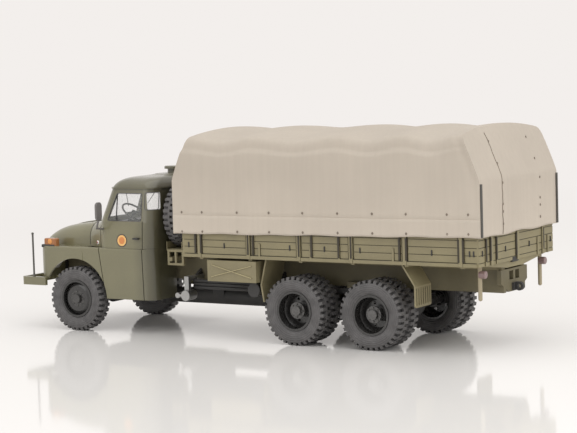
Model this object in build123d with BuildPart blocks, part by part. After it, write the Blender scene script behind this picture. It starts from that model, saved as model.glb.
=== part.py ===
"""Scale model, 1:43, of a bonneted three-axle military cargo truck with a canvas tilt.

X points forward, Y to the truck's left and Z up. The ground is Z = 0 and the origin lies
under the middle of the overall length. Sizes are millimetres at the model's own scale.
"""

from build123d import *

import os
from math import pi, sin

# Lengths along the truck, measured from the front axle
NOSE = 25.5
TAIL = 172.5
WHEELBASE = 97.7
BOGIE = 30.7

# Tyres with two staggered rows of shoulder lugs
TYRE_R = 12.0
TYRE_W = 6.2
BEAD_HALF = 2.2
CROWN_HALF = 2.5
SHOULDER_HALF = 3.0
SHOULDER_DROP = 1.4
LUG_COUNT = 34
LUG_DEPTH = 1.0
LUG_GAP = 1.0
LUG_RIB = 0.4

# Pressed wheels, hubs and axle rods
RIM_R = 7.0
RIM_T = 0.8
RIM_LIP = 0.3
WEB_T = 0.7
DISH_R = 4.7
FRONT_BULGE = 1.1
REAR_SEAT = 1.5
HUB_R = 2.4
FLANGE_R = 2.9
FLANGE_T = 0.7
CAP_R = 1.7
CAP_L = 1.0
CAP_T = 0.5
HAND_HOLES = 5
HAND_HOLE_R = 0.55
HAND_RING_R = 3.9
TWIN_GAP = 0.7
FRONT_FACE_Y = 26.5
REAR_FACE_Y = 28.0
ROD_R = 0.9
ROD_CLEAR = 0.05
HUB_CLEAR = 0.4

# Running gear
BACKBONE_R = 3.0
HOUSING_R = 3.8
HOUSING_HALF = 4.2
CASING_R = 1.9
SADDLE_L = 5.0
FIRST_SADDLE = 8.0
BASE_HOLE_R = 1.25
BASE_HOLE_DEPTH = 5.0
BASE_HOLE_SPAN = 50.0
BASE_POST_R = 2.6
BASE_POST_DROP = 0.4

# Chassis frame, springs and engine
FRAME_BOTTOM = 19.0
FRAME_TOP = 26.8
RAIL_IN = 6.3
RAIL_OUT = 8.1
FRAME_END = 169.0
FRAME_NOSE_GAP = 0.5
CROSS_T = 1.6
SPRING_Y = 10.6
SPRING_W = 2.0
TRUNNION_H = 2.0
LEAF_T = 1.8
LEAF_RISE = 2.6
LEAF_END = 2.0
CLAMP_T = 1.0
END_HALF = 9.8
END_FOOT = 4.2
END_SHOULDER = 3.2
END_WINDOW_W = 3.0
END_WINDOW_H = 3.0
ENGINE_LENGTH = 16.0
ENGINE_HEIGHT = 9.0
ENGINE_GAP = 0.3

# Cab
WALL = 1.0
CAB_BOTTOM = 12.5
DECK_Z = 31.4
BELT_Z = 41.0
GUTTER_Z = 53.7
ROOF_Z = 58.0
COWL_FRONT = 3.0
COWL_REAR = 12.6
SCREEN_FOOT = 9.6
SCREEN_HEAD = 14.3
CAB_REAR = 35.5
CAB_CORNER = 4.5
BODY_HALF = 25.2
BODY_TUCK = 0.6
DECK_ROLL = 0.7
DECK_STEP = 0.5
BELT_STEP = 1.0
GUTTER_STEP = 2.8
GUTTER_OUT = 0.4
GUTTER_T = 0.5
WINDOW_R = 0.8
SCREEN_R = 1.4
SCREEN_PANE = 19.2
SCREEN_BAR = 1.2
SCREEN_FRAME = 1.2
DOOR_WINDOW_FRONT = 14.6
DOOR_WINDOW_RAKE = 4.0
DOOR_WINDOW_REAR = 30.2
DOOR_WINDOW_HEAD = 2.1
SILL_RISE = 0.5
BACK_LIGHT_Z = 48.8
BACK_LIGHT_H = 6.3
BACK_LIGHT_W = 20.0
CORNER_LIGHT_W = 5.2
DOOR_FRONT = 10.8
DOOR_FOOT = 13.2
DOOR_REAR = 30.8
SEAM = 0.3
SEAM_DEPTH = 0.35
TUNNEL_HALF = 10.5

# Cab interior
SEAT_W = 11.0
SEAT_H = 6.0
SEAT_L = 8.5
SEAT_BACK_H = 14.5
SEAT_BACK_T = 2.6
SEAT_GAP = 0.8
DASH_L = 9.0
DASH_H = 5.0
DASH_DROP = 0.5
WHEEL_X = 17.2
WHEEL_Z = 43.6
RING_R = 4.9
RING_T = 0.35
BOSS_R = 1.0
COLUMN_R = 0.5
COLUMN_L = 8.0

# Front end
WING_NOSE = 19.3
WING_CORNER = 6.0
WING_BROW = 4.0
WING_BROW_DROP = 5.4
WING_BROW_R = 6.0
ARCH_R = 14.5
ARCH_AHEAD = 1.0
BONNET_NOSE = 21.5
BONNET_T = 0.8
RIDGE_HALF = 7.5
RIDGE_H = 0.4
RIDGE_NOSE = 14.0
GRILLE_HALF = 9.5
GRILLE_LOW = 20.5
GRILLE_HIGH = 29.5
GRILLE_T = 0.4
SLAT_COUNT = 6
SLAT_T = 0.6
LAMP_Y = 15.3
LAMP_Z = 24.6
LAMP_R = 2.6
LENS_OUT = 0.6
INDICATOR_L = 6.0
INDICATOR_W = 3.0
INDICATOR_H = 2.8
INDICATOR_R = 1.2
INDICATOR_AHEAD = 13.3
BUMPER_Z = 16.6
BUMPER_H = 3.1
BUMPER_T = 1.2
BUMPER_HALF = 27.0
BUMPER_RETURN = 13.8
BUMPER_CORNER = 1.6
BRACKET_LAP = 6.0
WIDTH_ROD_AHEAD = 19.7
WIDTH_ROD_R = 0.28
WIDTH_ROD_TOP = 36.0
WIDTH_HEAD_R = 0.5
WIDTH_FOOT_R = 0.55
WIDTH_FOOT_H = 1.8
MIRROR_X = 14.4
MIRROR_Y = 28.4
MIRROR_Z = 45.2
MIRROR_W = 3.2
MIRROR_H = 6.8
MIRROR_T = 1.0
MIRROR_R = 1.4
ARM_R = 0.35
ARM_FOOT_Z = 38.2
HANDLE_Z = 35.2
HANDLE_L = 2.4
HANDLE_T = 0.6
HANDLE_INSET = 2.4
VENT_X = 28.0
VENT_NECK_R = 2.2
VENT_NECK_H = 1.4
VENT_CAP_R = 3.4
VENT_CAP_H = 1.1

# Spare wheel and its cradle behind the cab
SPARE_X = 39.7
SPARE_Y = 8.0
SPARE_STAND = 3.2
SPARE_HUB = 1.0
CRADLE_T = 1.0
CRADLE_HALF = 9.0
CRADLE_LIP = 2.6
CRADLE_R = 0.7
LIP_T = 0.4
LIP_CLEAR = 0.1
LEG_L = 2.0
ARM_H = 1.4
LADDER_REACH = 3.0
LADDER_L = 7.2
LADDER_H = 5.7
LADDER_T = 0.8

# Load bed
BED_FRONT = 52.3
BED_LENGTH = 117.2
BED_HALF = 28.0
FLOOR_Z = 30.0
FLOOR_T = 1.2
BEARER_W = 2.4
BEARER_H = 1.0
BEARER_INSET = 2.0
BOARD_T = 0.8
BOARD_DROP = 0.3
BOARD_TOP = 44.0
BOARD_PITCH = 2.5
BOARDS = 5
GROOVE = 0.2
GROOVE_W = 0.25
POST_T = 0.5
POST_W = 1.4
POST_GAP = 0.5
POST_COUNT = 6
FIRST_POST = 6.8
LAST_POST = 111.4
STRAP_W = 0.8
STRAP_T = 0.35
STRAP_H = 4.2
STRAP_NEAR = 5.7
STRAP_FAR = 26.8
RAIL_H = 1.3
GATE_POST_Y = 19.5
GATE_STRAP_NEAR = 15.5
GATE_STRAP_FAR = 23.4
GATE_STRAP_H = 6.0
SILL_T = 1.0
SILL_FLAT = 6.2
SILL_DROP = 2.6

# Tilt over the bed
TILT_T = 0.7
TILT_CLEAR = 0.1
TILT_BOTTOM = 38.0
TILT_FRONT = 48.6
TILT_EAVE = 57.0
TILT_SHOULDER = 67.0
TILT_EDGE = 72.0
TILT_EDGE_IN = 2.6
TILT_TOP = 74.8
TILT_SAG = 0.85
TILT_NIP = 0.3
SAG_STEPS = 4
BOW_COUNT = 4
FIRST_BOW = 58.4
BOW_PITCH = 29.0
HIP_RUN = 7.5
HIP_LAP = 0.6
CLOSER_L = 17.4
CLOSER_W = 0.7
CLOSER_T = 0.6

# Fittings under the bed
BOX_FRONT_GAP = 9.7
BOX_CLEAR = 0.4
BOX_LOW = 21.3
BOX_HIGH = 28.8
BOX_IN = 17.0
PRESSING_W = 0.5
PRESSING_T = 0.2
PRESSING_INSET = 1.6
HANGER_W = 1.5
HANGER_T = 3.0
TANK_LOW = 16.5
TANK_R = 3.0
TANK_INSET = 1.0
AIR_R = 2.5
AIR_L = 8.0
AIR_GAP = 0.4
AIR_INSET = 0.5
AIR_FORWARD = 2.9
VALVE_AHEAD = 6.9
VALVE_Z = 14.2
VALVE_R = 1.9
VALVE_L = 5.0
VALVE_PITCH = 3.5
SMALL_VALVE_R = 1.0
PIPE_T = 0.8
VALVE_ARM_L = 10.0
VALVE_ARM_T = 1.6
VALVE_ARM_RISE = 0.5
GUARD_T = 0.6
GUARD_IN = 13.5
GUARD_OUT = 26.0
GUARD_GAP = 0.9
GUARD_KNEE = 1.0
GUARD_LEAN = 2.4
GUARD_KNEE_Z = 20.5
GUARD_LOW = 14.5
FLAP_GAP = 5.0
FLAP_RUN = 5.0
FLAP_TOP = 22.5
FLAP_LOW = 15.3
FLAP_INSET = 3.0
FLAP_RIBS = 7
FLAP_RIB_W = 0.5
FLAP_RIB_T = 0.25
FLAP_MARGIN = 0.8
LAMP_POST_Y = 22.6
LAMP_POST_R = 0.7
LAMP_POST_LOW = 18.0
LAMP_POST_GAP = 0.1
TAIL_LAMP_R = 1.3
TAIL_LAMP_Z = 26.8
TAIL_LAMP_L = 1.6
HOOK_Z_UP = 1.6
HOOK_R = 1.5
HOOK_EYE_R = 0.7
HOOK_HALF = 0.7
HOOK_PLATE_T = 0.8
HOOK_PLATE_W = 4.0
HOOK_PLATE_H = 2.6
HOOK_SHANK_H = 1.0

FRONT_X = (TAIL - NOSE) / 2
MID_X = FRONT_X - WHEELBASE
REAR_X = MID_X - BOGIE
BOGIE_X = (MID_X + REAR_X) / 2
AXLE_Z = TYRE_R
FRONT_MID_Y = FRONT_FACE_Y - TYRE_W / 2
OUTER_MID_Y = REAR_FACE_Y - TYRE_W / 2
INNER_MID_Y = OUTER_MID_Y - TYRE_W - TWIN_GAP
TWIN_MID_Y = (OUTER_MID_Y + INNER_MID_Y) / 2
FRONT_CASING_HALF = FRONT_MID_Y - BEAD_HALF - HUB_CLEAR
REAR_CASING_HALF = INNER_MID_Y - BEAD_HALF - HUB_CLEAR
SADDLES = (FRONT_X - FIRST_SADDLE, FRONT_X - WHEELBASE / 2, BOGIE_X)
BASE_X = FRONT_X - WHEELBASE / 2
BASE_Z = AXLE_Z - BACKBONE_R - BASE_POST_DROP
FRAME_FRONT = WING_NOSE - WALL - FRAME_NOSE_GAP
RAIL_Y = (RAIL_IN + RAIL_OUT) / 2
RAIL_T = RAIL_OUT - RAIL_IN
BED_REAR = BED_FRONT + BED_LENGTH
BED_INNER = BED_HALF - BOARD_T
BOARD_BOTTOM = FLOOR_Z - BOARD_DROP
BOARD_H = BOARD_TOP - BOARD_BOTTOM
POST_PITCH = (LAST_POST - FIRST_POST) / (POST_COUNT - 1)
BED_POSTS = [BED_FRONT + FIRST_POST + i * POST_PITCH for i in range(POST_COUNT)]
BED_MIDDLE = (BED_POSTS[2] + BED_POSTS[3]) / 2
BOARD_GROOVES = [BOARD_BOTTOM + RAIL_H + i * BOARD_PITCH for i in range(BOARDS)]
TILT_HALF = BED_HALF + POST_T + TILT_CLEAR + TILT_T
TILT_REAR = BED_REAR + BOARD_T + POST_T + TILT_CLEAR + TILT_T
SPARE_BASE = FRAME_TOP + SPARE_STAND + CRADLE_T
SPARE_Z = SPARE_BASE + TYRE_R
GUARD_X = WHEELBASE - TYRE_R - GUARD_GAP
BOX_FRONT = BED_FRONT + BOX_FRONT_GAP
BOX_REAR = GUARD_X - GUARD_KNEE - GUARD_T - BOX_CLEAR
BOX_LENGTH = BOX_REAR - BOX_FRONT
LAMP_POST_X = BED_REAR - SILL_T - LAMP_POST_R - LAMP_POST_GAP

ON_TOP = (Align.CENTER, Align.CENTER, Align.MIN)
HUNG = (Align.CENTER, Align.CENTER, Align.MAX)


def back(distance):
    """X of a point this far behind the front axle."""
    return FRONT_X - distance


def axle_line(x):
    """Line that the wheels at x turn about."""
    return Axis((x, 0, AXLE_Z), (0, 1, 0))


def axle_plane(x):
    """Sketch plane through an axle: local X runs across the truck, local Y up from the axle."""
    return Plane(origin=(x, 0, AXLE_Z), x_dir=(0, 1, 0), z_dir=(1, 0, 0))


def wheel_section(plane, rings, dishes, hub, bore_end):
    """Section of a pressed wheel: rims, dished discs and a stepped hub bored for the rod.

    Rings are rim centres, dishes pairs of a disc's place at the rim and at the middle, and
    hub rows of start, end and radius.
    """
    seat_r = RIM_R - RIM_T / 2
    with BuildSketch(plane) as section:
        for ring in rings:
            with Locations((ring, seat_r)):
                Rectangle(2 * (BEAD_HALF + RIM_LIP), RIM_T)
        for at_rim, at_middle in dishes:
            with BuildLine():
                Polyline(
                    (at_rim, seat_r), (at_middle, DISH_R), (at_middle, 0), (at_middle + WEB_T, 0),
                    (at_middle + WEB_T, DISH_R), (at_rim + WEB_T, seat_r), close=True,
                )
            make_face()
        for start, end, radius in hub:
            with Locations(((start + end) / 2, radius / 2)):
                Rectangle(end - start, radius)
        bore_start = hub[0][0]
        with Locations(((bore_start + bore_end) / 2, ROD_R / 2)):
            Rectangle(bore_end - bore_start, ROD_R, mode=Mode.SUBTRACT)
    return section.sketch


# One tyre about its own middle, turning about Y: grooves between the lugs run in from both shoulders
shoulder_r = TYRE_R - SHOULDER_DROP
bulge_r = (RIM_R + shoulder_r) / 2
groove_end = TYRE_W / 2 + LUG_GAP
groove_l = groove_end - LUG_RIB
groove_y = (groove_end + LUG_RIB) / 2
with BuildPart() as lugged_tyre:
    with BuildSketch(Plane.YZ):
        with BuildLine():
            Line((-BEAD_HALF, RIM_R), (BEAD_HALF, RIM_R))
            ThreePointArc((BEAD_HALF, RIM_R), (TYRE_W / 2, bulge_r), (SHOULDER_HALF, shoulder_r))
            Polyline(
                (SHOULDER_HALF, shoulder_r), (CROWN_HALF, TYRE_R),
                (-CROWN_HALF, TYRE_R), (-SHOULDER_HALF, shoulder_r),
            )
            ThreePointArc((-SHOULDER_HALF, shoulder_r), (-TYRE_W / 2, bulge_r), (-BEAD_HALF, RIM_R))
        make_face()
    revolve(axis=Axis.Y)
    for side, start in ((1, 0.0), (-1, 180.0 / LUG_COUNT)):
        with Locations(Plane.XZ.offset(-side * groove_y)):
            with PolarLocations(TYRE_R, LUG_COUNT, start_angle=start):
                Box(2 * LUG_DEPTH, LUG_GAP, groove_l, mode=Mode.SUBTRACT)

# Wheels and axle rods, left and right alike
front_cap = FRONT_MID_Y + FRONT_BULGE + WEB_T
rear_face = OUTER_MID_Y - WEB_T / 2
rear_flange = rear_face + FLANGE_T
front_hub = (
    # start, end, radius
    (FRONT_MID_Y - BEAD_HALF, front_cap, HUB_R),
    (front_cap, front_cap + CAP_L, CAP_R),
)
rear_hub = (
    # start, end, radius
    (INNER_MID_Y - BEAD_HALF, rear_face, HUB_R),
    (rear_face, rear_flange, FLANGE_R),
    (rear_flange, rear_flange + CAP_L, CAP_R),
)
front_dishes = ((FRONT_MID_Y, FRONT_MID_Y + FRONT_BULGE),)
rear_dishes = (
    (OUTER_MID_Y - REAR_SEAT, TWIN_MID_Y),
    (INNER_MID_Y + REAR_SEAT - WEB_T, TWIN_MID_Y - WEB_T),
)
twin_ys = (OUTER_MID_Y, INNER_MID_Y)
WHEEL_SETS = (
    # name, axle x, tyre centres, disc places, hub steps, hand holes
    ("front", FRONT_X, (FRONT_MID_Y,), front_dishes, front_hub, 0),
    ("mid", MID_X, twin_ys, rear_dishes, rear_hub, HAND_HOLES),
    ("rear", REAR_X, twin_ys, rear_dishes, rear_hub, HAND_HOLES),
)
os.makedirs("parts", exist_ok=True)
for name, axle_x, tyre_ys, dishes, hub, holes in WHEEL_SETS:
    rod_half = hub[-1][1] - CAP_T
    with BuildPart() as tyres:
        for tyre_y in tyre_ys:
            with Locations((axle_x, tyre_y, AXLE_Z), (axle_x, -tyre_y, AXLE_Z)):
                add(lugged_tyre.part)
    tyres.part.label = name + "_tyres"
    export_step(tyres.part, "parts/" + name + "_tyres.step")

    with BuildPart() as rims:
        revolve(wheel_section(axle_plane(axle_x), tyre_ys, dishes, hub, rod_half), axis=axle_line(axle_x))
        if holes:
            with Locations(Plane(origin=(axle_x, TWIN_MID_Y, AXLE_Z), x_dir=(1, 0, 0), z_dir=(0, 1, 0))):
                with PolarLocations(HAND_RING_R, holes):
                    Cylinder(HAND_HOLE_R, 4 * WEB_T, mode=Mode.SUBTRACT)
        mirror(about=Plane.XZ)
    rims.part.label = name + "_rims"
    export_step(rims.part, "parts/" + name + "_rims.step")

    with BuildPart() as rod:
        with BuildSketch(Plane.XZ):
            with Locations((axle_x, AXLE_Z)):
                Circle(ROD_R)
        extrude(amount=rod_half, both=True)
    rod.part.label = name + "_axle_rod"
    export_step(rod.part, "parts/" + name + "_axle_rod.step")

# Central backbone tube with the axle casings, the saddles under the frame and the display-base screw posts
AXLES = (
    # axle x, half width over the casing
    (FRONT_X, FRONT_CASING_HALF),
    (MID_X, REAR_CASING_HALF),
    (REAR_X, REAR_CASING_HALF),
)
with BuildPart() as backbone:
    with BuildSketch(Plane.YZ.offset(REAR_X - HOUSING_R)):
        with Locations((0, AXLE_Z)):
            Circle(BACKBONE_R)
    extrude(amount=FRONT_X - REAR_X + 2 * HOUSING_R)
    for axle_x, casing_half in AXLES:
        with BuildSketch(Plane.XZ):
            with Locations((axle_x, AXLE_Z)):
                Circle(HOUSING_R)
        extrude(amount=HOUSING_HALF, both=True)
        with BuildSketch(Plane.XZ):
            with Locations((axle_x, AXLE_Z)):
                Circle(CASING_R)
        extrude(amount=casing_half, both=True)
    for saddle_x in SADDLES:
        with Locations((saddle_x, 0, AXLE_Z)):
            Box(SADDLE_L, 2 * BACKBONE_R, FRAME_BOTTOM - AXLE_Z, align=ON_TOP)
    for end in (-1, 1):
        with Locations((BASE_X + end * BASE_HOLE_SPAN / 2, 0, BASE_Z)):
            Cylinder(BASE_POST_R, AXLE_Z - BASE_Z, align=ON_TOP)
            Cylinder(BASE_HOLE_R, BASE_HOLE_DEPTH, align=ON_TOP, mode=Mode.SUBTRACT)
    for axle_x, casing_half in AXLES:
        with BuildSketch(Plane.XZ):
            with Locations((axle_x, AXLE_Z)):
                Circle(ROD_R + ROD_CLEAR)
        extrude(amount=casing_half, both=True, mode=Mode.SUBTRACT)
backbone.part.label = "backbone"
export_step(backbone.part, "parts/backbone.step")

# Chassis frame: two rails, cross-members over the saddles and the pierced end plate
end_depth = FRAME_TOP - FRAME_BOTTOM
end_shoulder_z = FRAME_BOTTOM + END_SHOULDER
with BuildPart() as chassis_frame:
    for side in (1, -1):
        with Locations((back(FRAME_END), side * RAIL_Y, FRAME_BOTTOM)):
            Box(FRAME_END + FRAME_FRONT, RAIL_T, end_depth, align=(Align.MIN, Align.CENTER, Align.MIN))
        with Locations((BOGIE_X, side * (RAIL_OUT + SPRING_Y + SPRING_W) / 2, FRAME_BOTTOM)):
            Box(SADDLE_L, SPRING_Y + SPRING_W - RAIL_OUT, TRUNNION_H, align=ON_TOP)
    for saddle_x in SADDLES:
        with Locations((saddle_x, 0, FRAME_BOTTOM)):
            Box(SADDLE_L, 2 * RAIL_IN, CROSS_T, align=ON_TOP)
    with BuildSketch(Plane.YZ.offset(back(FRAME_END))):
        with BuildLine():
            Polyline(
                (-END_HALF, FRAME_TOP), (-END_HALF, end_shoulder_z), (-END_FOOT, FRAME_BOTTOM),
                (END_FOOT, FRAME_BOTTOM), (END_HALF, end_shoulder_z), (END_HALF, FRAME_TOP), close=True,
            )
        make_face()
        with GridLocations(2 * END_WINDOW_W - CROSS_T, 1, 2, 1):
            with Locations((0, FRAME_TOP - CROSS_T / 2 - END_WINDOW_H / 2)):
                Rectangle(END_WINDOW_W, END_WINDOW_H, mode=Mode.SUBTRACT)
    extrude(amount=CROSS_T)
chassis_frame.part.label = "chassis_frame"
export_step(chassis_frame.part, "parts/chassis_frame.step")

# Engine block between the rails
with BuildPart() as engine:
    with Locations((back(COWL_FRONT - ENGINE_GAP), 0, FRAME_BOTTOM + CROSS_T)):
        Box(ENGINE_LENGTH, 2 * RAIL_IN, ENGINE_HEIGHT, align=(Align.MIN, Align.CENTER, Align.MIN))
engine.part.label = "engine"
export_step(engine.part, "parts/engine.step")

# Rear leaf springs: an arched pack and its clamp on the frame's trunnion
leaf_z = FRAME_BOTTOM - LEAF_T
leaf_rear = REAR_X + LEAF_END
leaf_front = MID_X - LEAF_END
with BuildPart() as rear_springs:
    with BuildSketch(Plane.XZ.offset(-SPRING_Y)):
        with BuildLine():
            ThreePointArc(
                (leaf_rear, leaf_z - LEAF_RISE), (BOGIE_X, leaf_z), (leaf_front, leaf_z - LEAF_RISE)
            )
            Line((leaf_front, leaf_z - LEAF_RISE), (leaf_front, FRAME_BOTTOM - LEAF_RISE))
            ThreePointArc(
                (leaf_front, FRAME_BOTTOM - LEAF_RISE), (BOGIE_X, FRAME_BOTTOM),
                (leaf_rear, FRAME_BOTTOM - LEAF_RISE),
            )
            Line((leaf_rear, FRAME_BOTTOM - LEAF_RISE), (leaf_rear, leaf_z - LEAF_RISE))
        make_face()
    extrude(amount=-SPRING_W)
    with Locations((BOGIE_X, SPRING_Y + SPRING_W / 2, FRAME_BOTTOM)):
        Box(SADDLE_L, SPRING_W, LEAF_T + CLAMP_T, align=HUNG)
    mirror(about=Plane.XZ)
rear_springs.part.label = "rear_springs"
export_step(rear_springs.part, "parts/rear_springs.step")

# Bonnet and cowl sections, and the cab's plans from the floor to the roof
COWL_SECTION = (-COWL_FRONT, 19.9, 40.2, 5.8)
BONNET_SECTIONS = (
    # distance ahead of the axle, half width, top height, corner radius
    COWL_SECTION,
    (6.0, 19.4, 39.2, 5.6),
    (16.0, 17.6, 36.8, 4.2),
    (BONNET_NOSE, 15.4, 33.6, 1.9),
)
COWL_SECTIONS = (
    # distance ahead of the axle, half width, top height, corner radius
    COWL_SECTION,
    (-COWL_REAR, BODY_HALF - BELT_STEP, BELT_Z, 2.6),
)
UPPER_PLANS = (
    # height, rear, front, half width, corner radius
    (DECK_Z, CAB_REAR, SCREEN_FOOT, BODY_HALF - DECK_STEP, CAB_CORNER),
    (BELT_Z, CAB_REAR, SCREEN_FOOT, BODY_HALF - BELT_STEP, CAB_CORNER),
    (GUTTER_Z, CAB_REAR - 0.5, SCREEN_HEAD, BODY_HALF - GUTTER_STEP, CAB_CORNER),
)
ROOF_PLANS = (
    # height, rear, front, half width, corner radius
    UPPER_PLANS[-1],
    (GUTTER_Z + 2.0, CAB_REAR - 1.3, SCREEN_HEAD + 1.4, BODY_HALF - 4.6, 4.4),
    (ROOF_Z - 0.8, CAB_REAR - 3.0, SCREEN_HEAD + 5.2, BODY_HALF - 9.2, 4.0),
    (ROOF_Z, CAB_REAR - 4.6, SCREEN_HEAD + 10.4, BODY_HALF - 17.0, 2.4),
)


def plan(height, rear, front, half, corner, inset):
    """Level plan of the cab, rounded at its corners and inset by a wall."""
    with BuildSketch(Plane.XY.offset(height)) as section:
        with Locations((back((rear + front) / 2), 0)):
            RectangleRounded(rear - front - 2 * inset, 2 * (half - inset), corner - inset)
    return section.sketch


def lower_plan(height, half, inset):
    """Level plan of the lower body, square at the wings and rounded at the rear corners."""
    with BuildSketch(Plane.XY.offset(height)) as section:
        with Locations((back((CAB_REAR + COWL_FRONT) / 2), 0)):
            Rectangle(CAB_REAR - COWL_FRONT - 2 * inset, 2 * (half - inset))
        fillet(section.vertices().group_by(Axis.X)[0], CAB_CORNER - inset)
    return section.sketch


def rolled_section(inset, top):
    """Upright section of the wings and the lower body, with the deck's edges rolled over."""
    with BuildSketch(Plane.YZ) as section:
        Rectangle(2 * (BODY_HALF - inset), 2 * top)
        fillet(section.vertices().group_by(Axis.Y)[-1], DECK_ROLL)
    return section.sketch


def arched_section(ahead, half, top, corner, inset):
    """Upright section of the bonnet or the cowl, standing on the deck."""
    with BuildSketch(Plane.YZ.offset(FRONT_X + ahead)) as section:
        with Locations((0, (DECK_Z + top - inset) / 2)):
            Rectangle(2 * (half - inset), top - inset - DECK_Z)
        fillet(section.vertices().group_by(Axis.Y)[-1], corner - inset)
    return section.sketch


def bonnet_form(inset):
    """Bonnet lofted through its arched sections."""
    with BuildPart() as form:
        loft([arched_section(*row, inset) for row in BONNET_SECTIONS])
    return form.part


def cab_form(inset):
    """Whole cab: lower body, cowl, window band and domed roof, inset all round by a wall."""
    low = CAB_BOTTOM - inset
    with BuildPart() as form:
        foot = lower_plan(low, BODY_HALF - BODY_TUCK, inset)
        loft([foot, lower_plan(DECK_Z, BODY_HALF, inset)], ruled=True)
        extrude(rolled_section(inset, DECK_Z), amount=2 * TAIL, both=True, mode=Mode.INTERSECT)
        loft([arched_section(ahead - inset, half, top, corner, inset)
              for ahead, half, top, corner in COWL_SECTIONS], ruled=True)
        loft([plan(*row, inset) for row in UPPER_PLANS], ruled=True)
        loft([plan(height - inset * (height > GUTTER_Z), rear, front, half, corner, inset)
              for height, rear, front, half, corner in ROOF_PLANS])
    return form.part


def wing_form(inset):
    """Nose and wings: the side outline crossed with the rounded plan and the rolled section."""
    nose = FRONT_X + WING_NOSE - inset
    top = DECK_Z - inset
    rear = back(COWL_FRONT + inset)
    low = FRAME_BOTTOM - inset
    brow = nose - WING_BROW
    with BuildPart() as form:
        with BuildSketch(Plane.XZ):
            with BuildLine():
                Polyline((nose, top - WING_BROW_DROP), (nose, low), (rear, low), (rear, top), (brow, top))
                RadiusArc((brow, top), (nose, top - WING_BROW_DROP), WING_BROW_R)
            make_face()
        extrude(amount=BODY_HALF - inset, both=True)
        with BuildSketch(Plane.XY):
            with Locations(((nose + rear) / 2, 0)):
                Rectangle(nose - rear, 2 * (BODY_HALF - inset))
            fillet(vertices().group_by(Axis.X)[-1], WING_CORNER - inset)
        extrude(amount=2 * DECK_Z, mode=Mode.INTERSECT)
        extrude(rolled_section(inset, top), amount=2 * TAIL, both=True, mode=Mode.INTERSECT)
    return form.part


cab_outer = cab_form(0.0)
cab_hollow = cab_form(WALL)

# Window openings: doors, windscreen halves, rear corners and the rear wall
sill_z = BELT_Z + SILL_RISE
head_z = GUTTER_Z - DOOR_WINDOW_HEAD
with BuildPart() as windows:
    with BuildSketch(Plane.XZ):
        with BuildLine():
            Polyline(
                (back(DOOR_WINDOW_FRONT), sill_z),
                (back(DOOR_WINDOW_REAR), sill_z),
                (back(DOOR_WINDOW_REAR), head_z),
                (back(DOOR_WINDOW_FRONT + DOOR_WINDOW_RAKE), head_z),
                close=True,
            )
        make_face()
        fillet(vertices(), WINDOW_R)
    extrude(amount=2 * BODY_HALF, both=True)
    with BuildSketch(Plane.YZ.offset(back(SCREEN_HEAD + CAB_CORNER))):
        with Locations((0, (BELT_Z + GUTTER_Z) / 2)):
            with GridLocations(SCREEN_PANE + SCREEN_BAR, 1, 2, 1):
                RectangleRounded(SCREEN_PANE, GUTTER_Z - BELT_Z - 2 * SCREEN_FRAME, SCREEN_R)
    extrude(amount=SCREEN_HEAD)
    with BuildSketch(Plane.YZ.offset(back(CAB_REAR + CAB_CORNER))):
        with Locations((0, BACK_LIGHT_Z)):
            RectangleRounded(BACK_LIGHT_W, BACK_LIGHT_H, WINDOW_R)
    extrude(amount=2 * CAB_CORNER)
    for side in (1, -1):
        corner_light = Plane(
            origin=(back(CAB_REAR - CAB_CORNER), side * (BODY_HALF - GUTTER_STEP - CAB_CORNER), BACK_LIGHT_Z),
            x_dir=(1, side, 0), z_dir=(-1, side, 0),
        )
        with BuildSketch(corner_light):
            RectangleRounded(CORNER_LIGHT_W, BACK_LIGHT_H, WINDOW_R)
        extrude(amount=2 * CAB_CORNER)

# Front wheel arches, cut through the wings and the lower body
with BuildPart() as arches:
    with BuildSketch(Plane.XZ):
        with Locations((FRONT_X + ARCH_AHEAD, CAB_BOTTOM)):
            Circle(ARCH_R)
    extrude(amount=2 * BODY_HALF, both=True)

# Shut lines round the doors, as deep as the skin is thick
with BuildPart() as door_seams:
    with BuildSketch(Plane.XZ):
        with BuildLine():
            Polyline(
                (back(DOOR_FOOT), 0), (back(DOOR_FOOT), CAB_BOTTOM),
                (back(DOOR_FRONT), DECK_Z), (back(DOOR_FRONT), sill_z),
                (back(DOOR_FRONT - SEAM), sill_z), (back(DOOR_FRONT - SEAM), DECK_Z),
                (back(DOOR_FOOT - SEAM), CAB_BOTTOM), (back(DOOR_FOOT - SEAM), 0),
                close=True,
            )
        make_face()
        with Locations((back(DOOR_REAR), 0)):
            Rectangle(SEAM, sill_z, align=(Align.CENTER, Align.MIN))
    extrude(amount=2 * BODY_HALF, both=True)
    add(cab_form(SEAM_DEPTH), mode=Mode.SUBTRACT)

# Front wings with the nose panel, one hollow casting open below and behind
nose_x = FRONT_X + WING_NOSE
grille_z = (GRILLE_LOW + GRILLE_HIGH) / 2
with BuildPart() as front_wings:
    add(wing_form(0.0))
    add(wing_form(WALL), mode=Mode.SUBTRACT)
    add(arches.part, mode=Mode.SUBTRACT)
    with Locations((nose_x, 0, grille_z)):
        Box(4 * WALL, 2 * GRILLE_HALF, GRILLE_HIGH - GRILLE_LOW, mode=Mode.SUBTRACT)
    with BuildSketch(Plane.YZ.offset(nose_x - 2 * WALL)):
        with Locations((LAMP_Y, LAMP_Z), (-LAMP_Y, LAMP_Z)):
            Circle(LAMP_R)
    extrude(amount=4 * WALL, mode=Mode.SUBTRACT)
front_wings.part.label = "front_wings"
export_step(front_wings.part, "parts/front_wings.step")

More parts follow.
